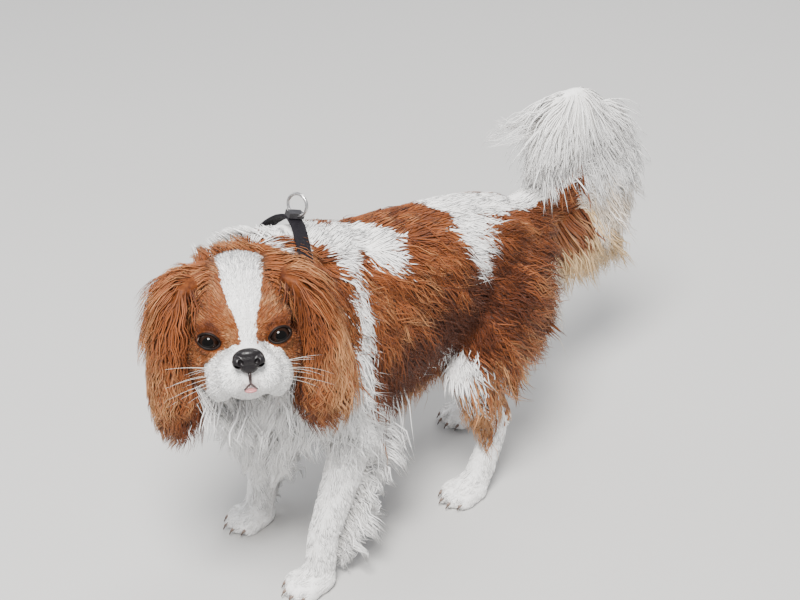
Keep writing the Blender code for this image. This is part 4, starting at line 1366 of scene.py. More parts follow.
class Pelt:
    """The lie, length and thickness of the hair all over the body."""

    def flow(self, points: Array, normals: Array) -> Array:
        """Which way the hair lies at each point."""
        x, y, z = points.T
        side = np.sign(x)[:, None]
        up = rise(normals[:, 2], 0.35, 0.9)[:, None]
        front = rise(-normals[:, 1], 0.2, 0.8)[:, None] * rise(-y, 0.09, 0.13)[:, None]
        swirl = (0.30 * ripple(points, 0.09, 21) + 0.22 * ripple(points, 0.035, 22))[:, None]
        sweep = rise(y, -0.06, 0.10)[:, None]
        flank = np.array((0, 0.30, -0.95)) * (1 - sweep) + np.array((0, 0.88, -0.50)) * sweep
        flank = flank + side * np.array((0.10, 0, 0)) + swirl * np.array((0, 0.8, 0.3))
        flow = flank * (1 - up) + np.array((0, 1.0, -0.05)) * up + 0.0 * side
        flow = flow * (1 - front) + np.array((0.05, -0.12, -1.0)) * front
        leg = rise(z, 0.185, 0.150)[:, None]
        shank = np.array((0, 0.18, -1.0)) + 0.5 * rise(normals[:, 1], 0.3, 0.9)[:, None] * np.array(
            (0, 1.0, 0.2))
        flow = flow * (1 - leg) + shank * leg
        toe = rise(z, 0.032, 0.020)[:, None]
        flow = flow * (1 - toe) + np.array((0, -1.0, -0.35)) * toe
        tail = rise(y, 0.150, 0.175)[:, None] * rise(z, 0.21, 0.235)[:, None]
        spray = np.stack([0 * y, np.clip((y - 0.232) / 0.055, -0.6, 0.8),
                          0.70 * rise(z, 0.352, 0.378) - 0.85], 1)
        fountain = unit(spray) * self.plume(points)[:, None]
        root = np.array((0, 0.95, 0.1)) * (1 - self.plume(points)[:, None])
        flow = flow * (1 - tail) + (fountain + root) * tail
        neck = (POSTURE.neck_share(points) * (1 - POSTURE.head_share(points)))[:, None]
        throat = np.array((-0.25, 0.30, -0.90)) * (1 - up) + np.array((-0.5, 0.85, -0.15)) * up
        flow = flow * (1 - neck) + throat * neck
        head = POSTURE.head_share(points)[:, None]
        return unit(flow * (1 - head) + self.head_flow(points) * head)

    def plume(self, points: Array) -> Array:
        """1 on the tail's plume, 0 at its root."""
        return np.maximum(rise(points[:, 2], 0.293, 0.303), rise(points[:, 1], 0.240, 0.252))

    def head_flow(self, points: Array) -> Array:
        """The face's hair, which runs back from the nose and round the eyes."""
        matrix = POSTURE.head()
        h = applied(matrix.inverted(), points)
        away = unit(h - np.array((0, -0.052, -0.012)))
        back = np.stack([0.35 * np.sign(h[:, 0]) * rise(np.abs(h[:, 0]), 0.0, 0.02),
                         0.9 + 0 * h[:, 0], np.where(h[:, 2] > 0.0, 0.25, -0.55)], 1)
        flow = away * 0.7 + unit(back) * 0.6
        for side in (1, -1):
            d = h - np.array((side * 0.029, 0.0, 0.0))
            near = rise(np.linalg.norm(d, axis=1), 0.021, 0.012)[:, None]
            out = unit(d * np.array((1.0, 0.3, 1.0)))
            flow = flow * (1 - 0.6 * near) + out * 0.6 * near
        down = rise(h[:, 2], -0.030, -0.048)[:, None]
        flow = flow * (1 - down) + np.array((0, 0.5, -0.8)) * down
        over = (rise(h[:, 2], 0.036, 0.056) * rise(np.abs(h[:, 0]), 0.004, 0.026))[:, None]
        aside = np.stack([np.sign(h[:, 0]), 0.45 + 0 * h[:, 0], -0.25 + 0 * h[:, 0]], 1)
        flow = flow * (1 - over) + aside * over
        return unit(flow) @ np.array(matrix.to_3x3().normalized()).T

    def length(self, points: Array, normals: Array) -> Array:
        """How long the hair is."""
        x, y, z = points.T
        side_on = rise(normals[:, 2], 0.85, 0.1)
        body = 0.024 + 0.016 * side_on
        chest = rise(-y, 0.10, 0.14) * rise(z, 0.12, 0.16)
        body = body + 0.012 * chest
        leg = rise(z, 0.175, 0.140)
        body = body * (1 - leg) + 0.012 * leg
        toe = rise(z, 0.034, 0.022)
        body = body * (1 - toe) + 0.0065 * toe
        tail = rise(y, 0.155, 0.175) * rise(z, 0.21, 0.235)
        body = body * (1 - tail) + (0.026 + 0.032 * self.plume(points)) * tail
        head = POSTURE.head_share(points)
        h = applied(POSTURE.head().inverted(), points)
        nose = np.linalg.norm(h - np.array((0, -0.050, -0.014)), axis=1)
        face = np.interp(nose, (0.008, 0.030, 0.055, 0.080, 0.135), (0.0028, 0.0050, 0.0080,
                                                                     0.0125, 0.0190))
        eye = np.min([np.linalg.norm(h - np.array((s * 0.029, 0, 0)), axis=1) for s in (1, -1)], 0)
        face = face * (0.55 + 0.45 * rise(eye, 0.012, 0.020))
        return body * (1 - head) + face * head

    def bare(self, points: Array) -> Array:
        """True where no hair grows: the eyes, the nose, the lips and under the paws."""
        h = applied(POSTURE.head().inverted(), points)
        bare = points[:, 2] < 0.0022
        skin = Skin()
        for side in (1, -1):
            away = h - np.array((side * skin.eye_spread, 0, 0))
            near = (np.linalg.norm(away, axis=1) < skin.eye_radius + 0.006) & (away[:, 1] < 0)
            bare |= near & (skin.lid_share(away, side) < 1.16)
        nose = (h - np.array((0, -0.0450, -0.0140))) / np.array((0.0135, 0.0120, 0.0112))
        bare |= np.linalg.norm(nose, axis=1) < 1.0
        lip = (h - np.array((0, -0.0450, -0.0270))) / np.array((0.0055, 0.0090, 0.0105))
        bare |= np.linalg.norm(lip, axis=1) < 1.0
        return bare


@dataclass(frozen=True)
class Region:
    """One piece of the short and middling coat."""

    name: str
    count: int
    steps: int
    width: float
    inside: Callable[[Array], Array]
    lift: float = 0.10
    wave: float = 0.05
    stand: float = 0.06
    fall: float = 0.05
    clump: float = 0.5


class Coat:
    """All the hair of the skin: short hair everywhere, and long hair where it hangs."""

    def __init__(self, skin: bpy.types.Object, finish: bpy.types.Material) -> None:
        """Takes the skin to grow on and the coat's material."""
        self.surface = Surface(skin)
        self.comb = Comb(self.surface, finish, 41)
        self.pelt = Pelt()
        collar = Collar()
        self.collar_at = np.array(collar.centre)
        self.collar_facing = np.array(collar.facing.normalized())

    def regions(self) -> tuple[Region, ...]:
        """The pieces that the coat is grown in."""
        def head(p: Array) -> Array:
            return POSTURE.head_share(p) > 0.5

        def neck(p: Array) -> Array:
            return (POSTURE.neck_share(p) > 0.5) & ~head(p) & (p[:, 2] > 0.150)

        def tail(p: Array) -> Array:
            return (p[:, 1] > 0.160) & (p[:, 2] > 0.215)

        def leg(p: Array, hind: bool) -> Array:
            return (p[:, 2] < 0.165) & ((p[:, 1] > -0.02) == hind)

        def trunk(p: Array) -> Array:
            return ~(head(p) | neck(p) | tail(p) | leg(p, True) | leg(p, False))

        return (
            Region("coat_head_left", 9500, 2, 0.00115,
                   lambda p: head(p) & (local_x(p) >= 0), lift=0.05, wave=0.02, clump=0.15),
            Region("coat_head_right", 9500, 2, 0.00115,
                   lambda p: head(p) & (local_x(p) < 0), lift=0.05, wave=0.02, clump=0.15),
            Region("coat_neck", 3600, 4, 0.0022, neck, lift=0.09, wave=0.06, stand=0.10),
            Region("coat_trunk_left", 3300, 3, 0.0024,
                   lambda p: trunk(p) & (p[:, 0] >= 0), lift=0.05, wave=0.05),
            Region("coat_trunk_right", 3300, 3, 0.0024,
                   lambda p: trunk(p) & (p[:, 0] < 0), lift=0.05, wave=0.05),
            Region("coat_front_legs", 5000, 3, 0.0018, lambda p: leg(p, False), lift=0.06),
            Region("coat_hind_legs", 5000, 3, 0.0019, lambda p: leg(p, True), lift=0.07),
            Region("coat_tail", 3300, 5, 0.0018, tail, lift=0.07, stand=0.04, wave=0.09, fall=0.5,
                   clump=0.30),
        )

    def region_strands(self, region: Region) -> Strands:
        """The locks of one region."""
        surface, pelt, draw = self.surface, self.pelt, self.comb.draw
        weight = region.inside(surface.middles).astype(float)
        weight *= 1 / np.maximum(pelt.length(surface.middles, surface.facings), 0.004) ** 0.5
        root, normal = surface.scatter(region.count, weight, draw)
        length = pelt.length(root, normal)
        n = len(root)
        flow = unit(pelt.flow(root, normal) + draw.normal(0, 0.07, (n, 3)))
        typical = float(np.median(length))
        strands = Strands(
            root=root, normal=normal, flow=flow,
            length=length * draw.uniform(0.7, 1.2, n),
            width=region.width * (length / typical) ** 0.5 * draw.uniform(0.7, 1.3, n),
            lift=region.lift * length * draw.uniform(0.4, 1.4, n),
            fall=np.full(n, region.fall),
            wave=region.wave * length * draw.uniform(0.3, 1.5, n),
            stand=np.full(n, region.stand),
            turns=draw.uniform(0.5, 1.2, n), clump=region.clump,
        )
        return self.clear_of_collar(strands.only(~pelt.bare(root)))

    def by_strap(self, points: Array) -> Array:
        """True near the upper part of the strap, which lies on top of the hair."""
        return (np.linalg.norm(points - self.collar_at, axis=1) < 0.085) & (points[:, 2] > 0.305)

    def clear_of_collar(self, strands: Strands) -> Strands:
        """Thins and flattens the hair where the strap presses on it."""
        ahead = (strands.root - self.collar_at) @ self.collar_facing
        near = self.by_strap(strands.root)
        strands = strands.only(~(near & (np.abs(ahead) < 0.0095)))
        ahead = (strands.root - self.collar_at) @ self.collar_facing
        near = self.by_strap(strands.root)
        before = near & (ahead > 0) & (ahead < 0.040)
        strands.length = np.where(before, np.minimum(strands.length, ahead * 0.8), strands.length)
        strands.lift = np.where(before, strands.lift * 0.6, strands.lift)
        return strands

    def patches(self) -> dict[str, tuple[int, tuple[Patch, ...]]]:
        """The long hair: name of the piece, steps of each lock, and its patches."""
        flank = Patch(
            line=((0, -0.105, 0.240), (0, 0.130, 0.238)),
            out=((0.42, 0, 0.90), (0.80, 0, -0.60)),
            flow=((0.25, 0.42, -0.60), (0, 0.08, -1.0)), turn=(0, 0.72, 0.34),
            count=3850, length=0.070, width=0.0020, lift=0.003, fall=0.16, wave=0.0085,
            turns=1.5, stand=0.05, clump=0.45,
        )
        belly = Patch(
            line=((0, -0.046, 0.215), (0, 0.052, 0.215)), out=((1, 0, -0.60), (0.40, 0, -1)),
            flow=((0.1, 0.30, -1), (0.1, 0.25, -1)), count=1000, length=0.074, width=0.0023,
            lift=0.004, fall=0.9, wave=0.007, turns=1.4, tone=0.10, white=0.0,
        )
        bib = Patch(
            line=((0, -0.125, 0.262), (0, -0.125, 0.185)), out=((0.95, -0.30, 0), (0.15, -1, 0)),
            flow=((0.40, -0.1, -1), (0.10, -0.25, -1)), count=1270, length=0.078, width=0.0025,
            lift=0.012, fall=0.4, wave=0.009, turns=1.5, clump=0.75, cream=0.05,
            white=1.0,
        )
        rump = Patch(
            line=((0.030, 0.120, 0.250), (0.040, 0.120, 0.150)), out=((0.8, 0.6, 0), (0.1, 1, 0)),
            flow=((0.1, 0.35, -1), (0, 0.35, -1)), count=1000, length=0.066, width=0.0023,
            lift=0.007, fall=0.4, wave=0.006, cream=0.1, tone=0.06,
        )
        trousers = Patch(
            line=((0.040, 0.100, 0.190), (0.045, 0.130, 0.110)), out=((0.7, 0.7, 0), (0.1, 1, 0)),
            flow=((0, 0.40, -0.9), (0, 0.55, -0.8)), count=620, length=0.056, width=0.0022,
            lift=0.006, fall=0.4, wave=0.005, cream=0.45, tone=0.45, white=0.0, tip_white=0.75,
        )
        nape = Patch(
            line=((-0.022, -0.156, 0.300), (0.000, -0.126, 0.300)),
            out=((-1, -0.2, 0.15), (0.10, -0.1, 1)), flow=((-0.75, -0.4, 0.45), (-0.5, -0.45, 0.7)),
            count=1000, length=0.037, width=0.0021, lift=0.014, fall=0.12, stand=0.55, white=1.0,
        )
        throat = Patch(
            line=((0.022, -0.168, 0.285), (-0.012, -0.165, 0.280)),
            out=((0.5, -0.9, 0.15), (0.1, -0.6, -1)), flow=((0.3, -0.3, -1), (0.1, 0.1, -1)),
            count=650, length=0.052, width=0.0024, lift=0.013, fall=0.5, wave=0.003, white=1.0,
        )
        cover = Patch(
            line=((0.016, -0.150, 0.266), (0.018, -0.138, 0.240)),
            out=((1, -0.5, 0.05), (0.2, -1, 0.05)), flow=((0.15, -0.2, -1), (0.1, -0.3, -1)),
            count=620, length=0.058, width=0.0026, lift=0.019, fall=0.5, wave=0.005, white=1.0,
        )
        shoulder = Patch(
            line=((0.010, -0.150, 0.290), (0.010, -0.120, 0.250)),
            out=((1, -0.2, 0.35), (1, -0.5, -0.4)), flow=((0.1, 0.3, -1), (0.1, 0.1, -1)),
            count=650, length=0.050, width=0.0022, lift=0.010, fall=0.5, wave=0.005, mark_at=0.2,
        )
        return {
            "coat_flank_left": (5, (flank, belly)),
            "coat_flank_right": (5, (flank.mirrored(), belly.mirrored())),
            "coat_chest": (5, (bib, bib.mirrored(), nape, throat, cover, shoulder)),
            "coat_crown": (4, (self.crown(),)),
            "coat_trousers": (4, (rump, rump.mirrored(), trousers, trousers.mirrored())),
            "coat_feathering": (5, (
                self.feather(0.056, -0.086, -0.124, 1), self.feather(-0.056, -0.086, -0.112, -1),
            )),
            "coat_plume": (5, self.plume()),
        }

    def crown(self) -> Patch:
        """Chestnut wisps that stand up behind the top of the blaze."""
        head = POSTURE.head()
        spin = np.array(head.to_3x3().normalized())
        line = tuple(tuple(head @ Vector((x, 0.046, 0.040))) for x in (-0.030, 0.026))
        out = tuple(tuple(spin @ np.array((0.0, y, 1.0))) for y in (-0.1, 0.5))
        flow = tuple(tuple(spin @ np.array((x, 0.5, 0.75))) for x in (-0.45, 0.05))
        return Patch(
            line, out, flow, 300, 0.028, 0.0012, lift=0.008, fall=0.55, wave=0.004, turns=0.8,
            stand=0.55, white=0.0, tone=0.05, clump=0.75, on_head=True,
        )

    def feather(self, x: float, top_y: float, low_y: float, side: int) -> Patch:
        """The fringe down the back of a foreleg."""
        return Patch(
            line=((x, top_y, 0.175), (x, low_y, 0.045)),
            out=((side * 0.8, 1, 0), (-side * 0.5, 1, 0)),
            flow=((side * 0.35, 0.85, -0.6), (side * 0.1, 0.8, -0.7)),
            count=1000, length=0.070, width=0.0022, lift=0.005, fall=0.26, wave=0.0075, turns=1.6,
            grow=0.62, white=1.0, clump=0.85,
        )

    def plume(self) -> tuple[Patch, ...]:
        """The tail's long hair: it hangs under and behind the bend, and curls over the top."""
        def fan(line: tuple[Point, Point], out: Point, flow: Point, turn: Point, count: int,
                length: float, grow: float, width: float = 0.0022, **more: float) -> Patch:
            outs = tuple((s * out[0], *out[1:]) for s in (1, -1))
            flows = tuple((s * flow[0], *flow[1:]) for s in (1, -1))
            return Patch(
                line, outs, flows, count, length, width, turn=turn, grow=grow, wave=0.007,
                turns=1.3, clump=0.6, **more,
            )

        return (
            fan(((0, 0.155, 0.271), (0, 0.246, 0.262)), (0.9, 0.1, -1), (0.10, 0.36, -1.0),
                (0, 0.48, 0.06), 1500, 0.124, 1.04, lift=0.005, fall=0.12, stand=0.8,
                mark_at=0.0, tone=0.20, tip_white=0.85, cream=0.50),
            fan(((0, 0.246, 0.255), (0, 0.264, 0.315)), (0.8, 1, -0.2), (0.10, 0.40, -0.90),
                (0, 0.28, 0.30), 1450, 0.102, 0.62, lift=0.005, fall=0.35, stand=0.6, white=1.0),
            fan(((0, 0.202, 0.352), (0, 0.196, 0.318)), (1, -0.9, 0.1), (0.10, -0.25, -1),
                (0, 0, 0), 500, 0.064, 0.9, lift=0.005, fall=0.5, stand=0.2, white=1.0),
            fan(((0, 0.206, 0.362), (0, 0.198, 0.342)), (0.4, -1, 0.3), (0.12, -1, 0.22),
                (0, 0, 0), 40, 0.084, 1.0, 0.0012, lift=0.006, fall=0.4, stand=0.9, white=1.0),
        )

    def build(self) -> list[bpy.types.Object]:
        """Grows every piece of the coat."""
        pieces = [
            self.comb.piece(region.name, [(self.region_strands(region), region.steps)])
            for region in self.regions()
        ]
        for name, (steps, patches) in self.patches().items():
            batches = [
                (self.clear_of_collar(patch.strands(self.surface, self.comb.draw)), steps)
                for patch in patches
            ]
            pieces.append(self.comb.piece(name, batches))
        return pieces


def local_x(points: Array) -> Array:
    """How far to the left of the head's middle each point is."""
    return applied(POSTURE.head().inverted(), points)[:, 0]


# Ears


@dataclass
class Ear:
    """A hanging ear: a thin leather under long, waved hair."""

    side: Side
    stations: tuple[Station, ...] = (
        ((0.034, 0.046, 0.033), 0.008, 0.018),
        ((0.047, 0.045, 0.030), 0.011, 0.026),
        ((0.057, 0.042, 0.015), 0.013, 0.031),
        ((0.062, 0.036, -0.012), 0.015, 0.033),
        ((0.062, 0.030, -0.042), 0.018, 0.031),
        ((0.060, 0.027, -0.064), 0.018, 0.026),
        ((0.059, 0.026, -0.082), 0.010, 0.014),
    )
    level: float = -0.118
    longest: float = 0.060
    flare: float = 0.0

    def leather(self) -> bpy.types.Object:
        """The ear's flap, fused smooth."""
        side = self.side.value
        clay = Clay()
        stations = []
        for centre, wide, deep in self.stations:
            out = self.flare * float(rise(centre[2], 0.020, -0.040))
            stations.append(((side * (centre[0] + out), *centre[1:]), wide + 0.5 * out, deep))
        clay.loft(stations, POSTURE.hang())
        obj = clay.fused(f"ear_leather_{self.side.word}", 0.0022, 4)
        mesh = obj.data
        mesh.shade_smooth()
        points = points_of(mesh)
        note(mesh, "white", np.zeros(len(points)))
        note(mesh, "tone", 0.28 + 0.1 * ripple(points, 0.02, 5))
        note(mesh, "cream", np.zeros(len(points)))
        mesh.materials.clear()
        mesh.materials.append(CoatFinish().material(f"ear_skin_{self.side.word}", hair=False))
        return obj

    def hanging(self, comb: Comb, surface: Surface, count: int) -> Strands:
        """Waved locks from all over the flap, which hang to one level."""
        side = self.side.value
        hang = POSTURE.hang()
        spin = np.array(hang.to_3x3().normalized())
        draw = comb.draw
        root, normal = surface.scatter(count, np.ones(len(surface.areas)), draw)
        h = applied(hang.inverted(), root)
        n = len(root)
        drop = (h[:, 2] - self.level) * draw.uniform(0.80, 1.06, n)
        length = np.clip(drop, 0.018, self.longest)
        low = rise(h[:, 2], 0.02, -0.05)
        out = (h[:, 0] * side - 0.058) / 0.02
        flow = np.stack([side * (0.13 + 0.08 * out), -0.02 + 0 * out, -1 + 0 * out], 1) @ spin.T
        return Strands(
            root=root, normal=normal, flow=unit(flow + draw.normal(0, 0.06, (n, 3))),
            length=length, width=0.0018 * draw.uniform(0.7, 1.25, n),
            lift=0.005 * draw.uniform(0.3, 1.3, n), fall=np.full(n, 0.9),
            wave=(0.0032 + 0.0010 * low) * draw.uniform(0.8, 1.2, n), stand=np.full(n, 0.1),
            turns=2.4 * draw.uniform(0.93, 1.07, n),
            # The ear's hair is a little darker overall, darkest next to the face and golden at the
            # outer edge: partly its own colour, partly painted shade where it hangs against the face.
            tone_shift=-0.06 + 0.34 * np.clip(out, -1.4, 1), white=0.0, clump=0.50, per_clump=9,
        )

    def curls(self, comb: Comb, surface: Surface, count: int) -> Strands:
        """Tightly waved locks round the lower half of the flap."""
        h = applied(POSTURE.hang().inverted(), surface.middles)
        draw = comb.draw
        root, normal = surface.scatter(count, rise(h[:, 2], -0.015, -0.045), draw)
        n = len(root)
        high = applied(POSTURE.hang().inverted(), root)[:, 2] - self.level
        flow = np.tile((0.0, 0.0, -1.0), (n, 1)) + 0.35 * normal
        return Strands(
            root=root, normal=normal, flow=unit(flow + draw.normal(0, 0.06, (n, 3))),
            length=np.clip(high * draw.uniform(0.7, 1.0, n), 0.014, 0.044),
            width=0.0021 * draw.uniform(0.7, 1.25, n), lift=0.008 * draw.uniform(0.5, 1.2, n),
            fall=np.full(n, 0.8), wave=0.0034 * draw.uniform(0.8, 1.2, n),
            stand=np.full(n, 0.3), turns=3.2 * draw.uniform(0.93, 1.07, n),
            tone_shift=0.0, white=0.0, clump=0.8, per_clump=7,
        )

    def crest(self, comb: Comb) -> Strands:
        """Hair of the skull's side that falls outwards over the fold of the ear."""
        side = self.side.value
        head = POSTURE.head()
        spin = np.array(head.to_3x3().normalized())

        def turned(direction: Point) -> Point:
            return tuple(spin @ np.array((direction[0] * side, *direction[1:])))

        patch = Patch(
            line=tuple(tuple(head @ Vector((side * 0.006, y, 0.030))) for y in (0.010, 0.070)),
            out=(turned((0.46, 0, 1)), turned((1, 0, 0.15))),
            flow=(turned((1, 0.08, -0.15)), turned((0.65, 0.05, -0.85))),
            count=1350, length=0.050, width=0.0014, lift=0.008, fall=1.5, wave=0.0020,
            stand=0.0, tone=0.04, clump=0.25, white=0.0, on_head=True,
        )
        return patch.strands(comb.surface, comb.draw)

    def coat(self, leather: bpy.types.Object, skin: bpy.types.Object,
             finish: bpy.types.Material) -> bpy.types.Object:
        """The ear's own hair, and the hair that falls over it."""
        comb = Comb(Surface(leather), finish, 60 + self.side.value)
        over = Comb(Surface(leather, skin), finish, 70 + self.side.value)
        hanging = comb.locks(self.hanging(comb, comb.surface, 1600), 9)
        curls = comb.locks(self.curls(comb, comb.surface, 560), 14)
        crest = over.locks(self.crest(over), 4)
        return comb.join(f"coat_ear_{self.side.word}", [hanging, curls, crest])

    def build(self, skin: bpy.types.Object, finish: bpy.types.Material
              ) -> list[bpy.types.Object]:
        """The flap, which stands for the solid ear, and its hair."""
        leather = self.leather()
        return [leather, self.coat(leather, skin, finish)]


# Eyes, nose, mouth, claws and whiskers


@dataclass
class Eye:
    """An eyeball with its iris, and the dark rims of the lids."""

    side: Side
    radius: float = 0.0110
    spread: float = 0.0290
    gaze_out: float = math.radians(10)
    rim: float = 0.00085

    def ball(self) -> bpy.types.Object:
        """The eyeball, bulging at the cornea, with the angle from its gaze at each point."""
        bm = bmesh.new()
        bmesh.ops.create_uvsphere(bm, u_segments=64, v_segments=40, radius=1)
        mesh = bpy.data.meshes.new(f"eye_ball_{self.side.word}")
        bm.to_mesh(mesh)
        bm.free()
        points = points_of(mesh)
        turn = self.side.value * self.gaze_out
        gaze = np.array((math.sin(turn), -math.cos(turn), -0.05))
        angle = np.arccos(np.clip(unit(points) @ (gaze / np.linalg.norm(gaze)), -1, 1))
        bulge = 1 + 0.055 * rise(angle, 0.85, 0.25)
        place = POSTURE.head() @ Matrix.Translation((self.side.value * self.spread, 0, 0))
        move_points(mesh, applied(place, points * (self.radius * 0.985) * bulge[:, None]))
        note(mesh, "gaze", angle)
        mesh.shade_smooth()
        mesh.materials.append(EyeFinish().material())
        return add_object(mesh.name, mesh)

    def lids(self) -> bpy.types.Object:
        """A soft dark roll along the edge of both lids."""
        skin = Skin()
        wide, high, low = skin.opening
        side = self.side.value
        steps, ring = 56, 8
        centres = []
        for k in range(steps):
            a = 2 * math.pi * k / steps
            x = side * 0.0012 + wide * math.cos(a)
            tall = (high if math.sin(a) > 0 else low) * (1 - 0.42 * math.cos(a) ** 4)
            z = 0.0003 + tall * math.sin(a) + skin.lid_tilt * side * wide * math.cos(a)
            y = -math.sqrt(max((self.radius + 0.0005) ** 2 - x * x - z * z, 1e-8))
            centres.append(Vector((side * self.spread + x, y, z)))
        points = []
        middle = Vector((side * self.spread, 0, 0))
        for k, centre in enumerate(centres):
            ahead = (centres[(k + 1) % steps] - centres[k - 1]).normalized()
            out = (centre - middle).normalized()
            over = ahead.cross(out).normalized()
            for j in range(ring):
                t = 2 * math.pi * j / ring
                spoke = out * math.cos(t) * self.rim + over * math.sin(t) * self.rim * 1.35
                points.append((POSTURE.head() @ (centre + spoke))[:])
        return closed_loop(f"eye_lids_{self.side.word}", np.array(points), steps, ring)

    def build(self, rim_finish: bpy.types.Material) -> list[bpy.types.Object]:
        """The eyeball and the rims."""
        ball, lids = self.ball(), self.lids()
        lids.data.materials.append(rim_finish)
        return [ball, lids]


def closed_loop(name: str, points: Array, steps: int, ring: int) -> bpy.types.Object:
    """A closed tube that runs round to its own start."""
    faces = []
    for k in range(steps):
        for j in range(ring):
            a, b = k * ring + j, k * ring + (j + 1) % ring
            c, d = (k + 1) % steps * ring + (j + 1) % ring, (k + 1) % steps * ring + j
            faces += [(a, b, c), (a, c, d)]
    mesh = mesh_from(name, points, np.array(faces))
    bm = bmesh.new()
    bm.from_mesh(mesh)
    bmesh.ops.recalc_face_normals(bm, faces=bm.faces)
    bm.to_mesh(mesh)
    bm.free()
    return add_object(name, mesh)


def taper(name: str, paths: Sequence[Sequence[Vector]], radii: Sequence[Sequence[float]],
          ring: int = 6) -> bpy.types.Object:
    """Closed tapered tubes along paths, with the share of the way along stored at each point."""
    bm = bmesh.new()
    along: list[float] = []
    for path, sizes in zip(paths, radii):
        rings = []
        for k, (centre, size) in enumerate(zip(path, sizes)):
            ahead = (path[min(k + 1, len(path) - 1)] - path[max(k - 1, 0)]).normalized()
            across = ahead.orthogonal().normalized()
            over = ahead.cross(across)
            spokes = (2 * math.pi * j / ring for j in range(ring))
            rings.append([
                bm.verts.new(centre + (across * math.cos(t) + over * math.sin(t)) * size)
                for t in spokes
            ])
            along += [k / (len(path) - 1)] * ring
        for low, high in zip(rings, rings[1:]):
            for j in range(ring):
                m = (j + 1) % ring
                bm.faces.new((low[j], low[m], high[m], high[j]))
        bm.faces.new(rings[0][::-1])
        bm.faces.new(rings[-1])
    bmesh.ops.recalc_face_normals(bm, faces=bm.faces)
    mesh = bpy.data.meshes.new(name)
    bm.to_mesh(mesh)
    bm.free()
    note(mesh, "along", np.array(along))
    mesh.shade_smooth()
    return add_object(name, mesh)


@dataclass
class Nose:
    """The nose leather, its nostrils and the groove between them."""

    voxel: float = 0.00055

    def build(self) -> bpy.types.Object:
        """Sculpts the leather."""
        head = POSTURE.head()
        clay = Clay()
        clay.ball((0, -0.0445, -0.0128), (0.0132, 0.0078, 0.0086), place=head)
        clay.ball((0, -0.0462, -0.0090), (0.0106, 0.0062, 0.0050), place=head)
        clay.ball((0, -0.0452, -0.0195), (0.0078, 0.0056, 0.0058), place=head)
        for side in (1, -1):
            clay.ball((side * 0.0087, -0.0478, -0.0153), (0.0050, 0.0058, 0.0058),
                      (0, 20 * side, 0), head)
        nose = clay.fused("nose_leather", self.voxel, 3)
        for side in (1, -1):
            self.cut(nose, (side * 0.0064, -0.0540, -0.0155), (0.0026, 0.0048, 0.0034), 30 * side)
            self.cut(nose, (side * 0.0106, -0.0512, -0.0182), (0.0036, 0.0042, 0.0011), -18 * side)
        self.cut(nose, (0, -0.0545, -0.0190), (0.00045, 0.0030, 0.0090), 0)
        soften = nose.modifiers.new("soften", "SMOOTH")
        soften.iterations = 3
        settled(nose)
        nose.data.shade_smooth()
        nose.data.materials.clear()
        finish = DampSkinFinish(
            "nose_leather", (0.003, 0.0025, 0.003), (0.010, 0.008, 0.009), roughness=0.38, coat=0.08,
            shine=0.28,
        )
        nose.data.materials.append(finish.material())
        return nose

    def cut(self, nose: bpy.types.Object, centre: Point, radii: Point, turn: float) -> None:
        """Takes one hollow out of the leather."""
        clay = Clay()
        clay.ball(centre, radii, (0, turn, 0), POSTURE.head(), 16)
        carve(nose, add_object("hollow", clay.mesh("hollow")), "DIFFERENCE")


@dataclass
class Mouth:
    """The dark edges of the lips, and the tip of the tongue between them."""

    lip: float = 0.0009

    def build(self) -> list[bpy.types.Object]:
        """The lips and the tongue."""
        head = POSTURE.head()
        paths, radii = [], []
        for side in (1, -1):
            line = [Vector((0, -0.0462, -0.0245)), *(Vector(p) for p in lip_line(side)[:2])]
            fine = [line[i].lerp(line[i + 1], t / 4) for i in range(len(line) - 1)
                    for t in range(4)] + [line[-1]]
            paths.append([head @ p for p in fine])
            radii.append([self.lip * (1.7 - 1.2 * k / len(fine)) for k in range(len(fine))])
        lips = taper("lips", paths, radii, 8)
        lips.data.materials.append(DampSkinFinish(
            "lip_skin", (0.020, 0.014, 0.014), (0.060, 0.040, 0.038), relief=0.0001
        ).material())
        clay = Clay()
        clay.ball((0, -0.0408, -0.0396), (0.0056, 0.0056, 0.0019), (8, 0, 0), head)
        tongue = clay.fused("tongue_tip", 0.0006, 3)
        tongue.data.shade_smooth()
        tongue.data.materials.clear()
        tongue.data.materials.append(DampSkinFinish(
            "tongue_skin", (0.34, 0.10, 0.11), (0.50, 0.20, 0.20), 1400.0, 0.00012, 0.4, 0.3
        ).material())
        return [lips, tongue]


@dataclass
class Claws:
    """The claws at the end of each toe."""

    length: float = 0.0065
    thickness: float = 0.0016

    def build(self) -> bpy.types.Object:
        """All the claws as one piece."""
        paws = ((0.056, -0.136), (-0.056, -0.124), (0.050, 0.062), (-0.050, 0.148))
        paths, radii = [], []
        for x, y in paws:
            for k, across in enumerate((-0.0140, -0.0050, 0.0050, 0.0140)):
                ahead = 0.0215 if k in (1, 2) else 0.0145
                root = Vector((x + across * 1.02, y - ahead - 0.0085, 0.0090))
                bend = [(0.0, 0.0), (0.30, -0.05), (0.60, -0.22), (0.85, -0.52), (1.0, -0.80)]
                path = [root + Vector((0, -out, down)) * self.length for out, down in bend]
                paths.append(path)
                radii.append([self.thickness * s for s in (1.0, 0.95, 0.75, 0.45, 0.12)])
        claws = taper("claws", paths, radii, 8)
        claws.data.materials.append(
            HornFinish("claw_horn", (0.20, 0.14, 0.11), (0.08, 0.055, 0.045)).material()
        )
        return claws


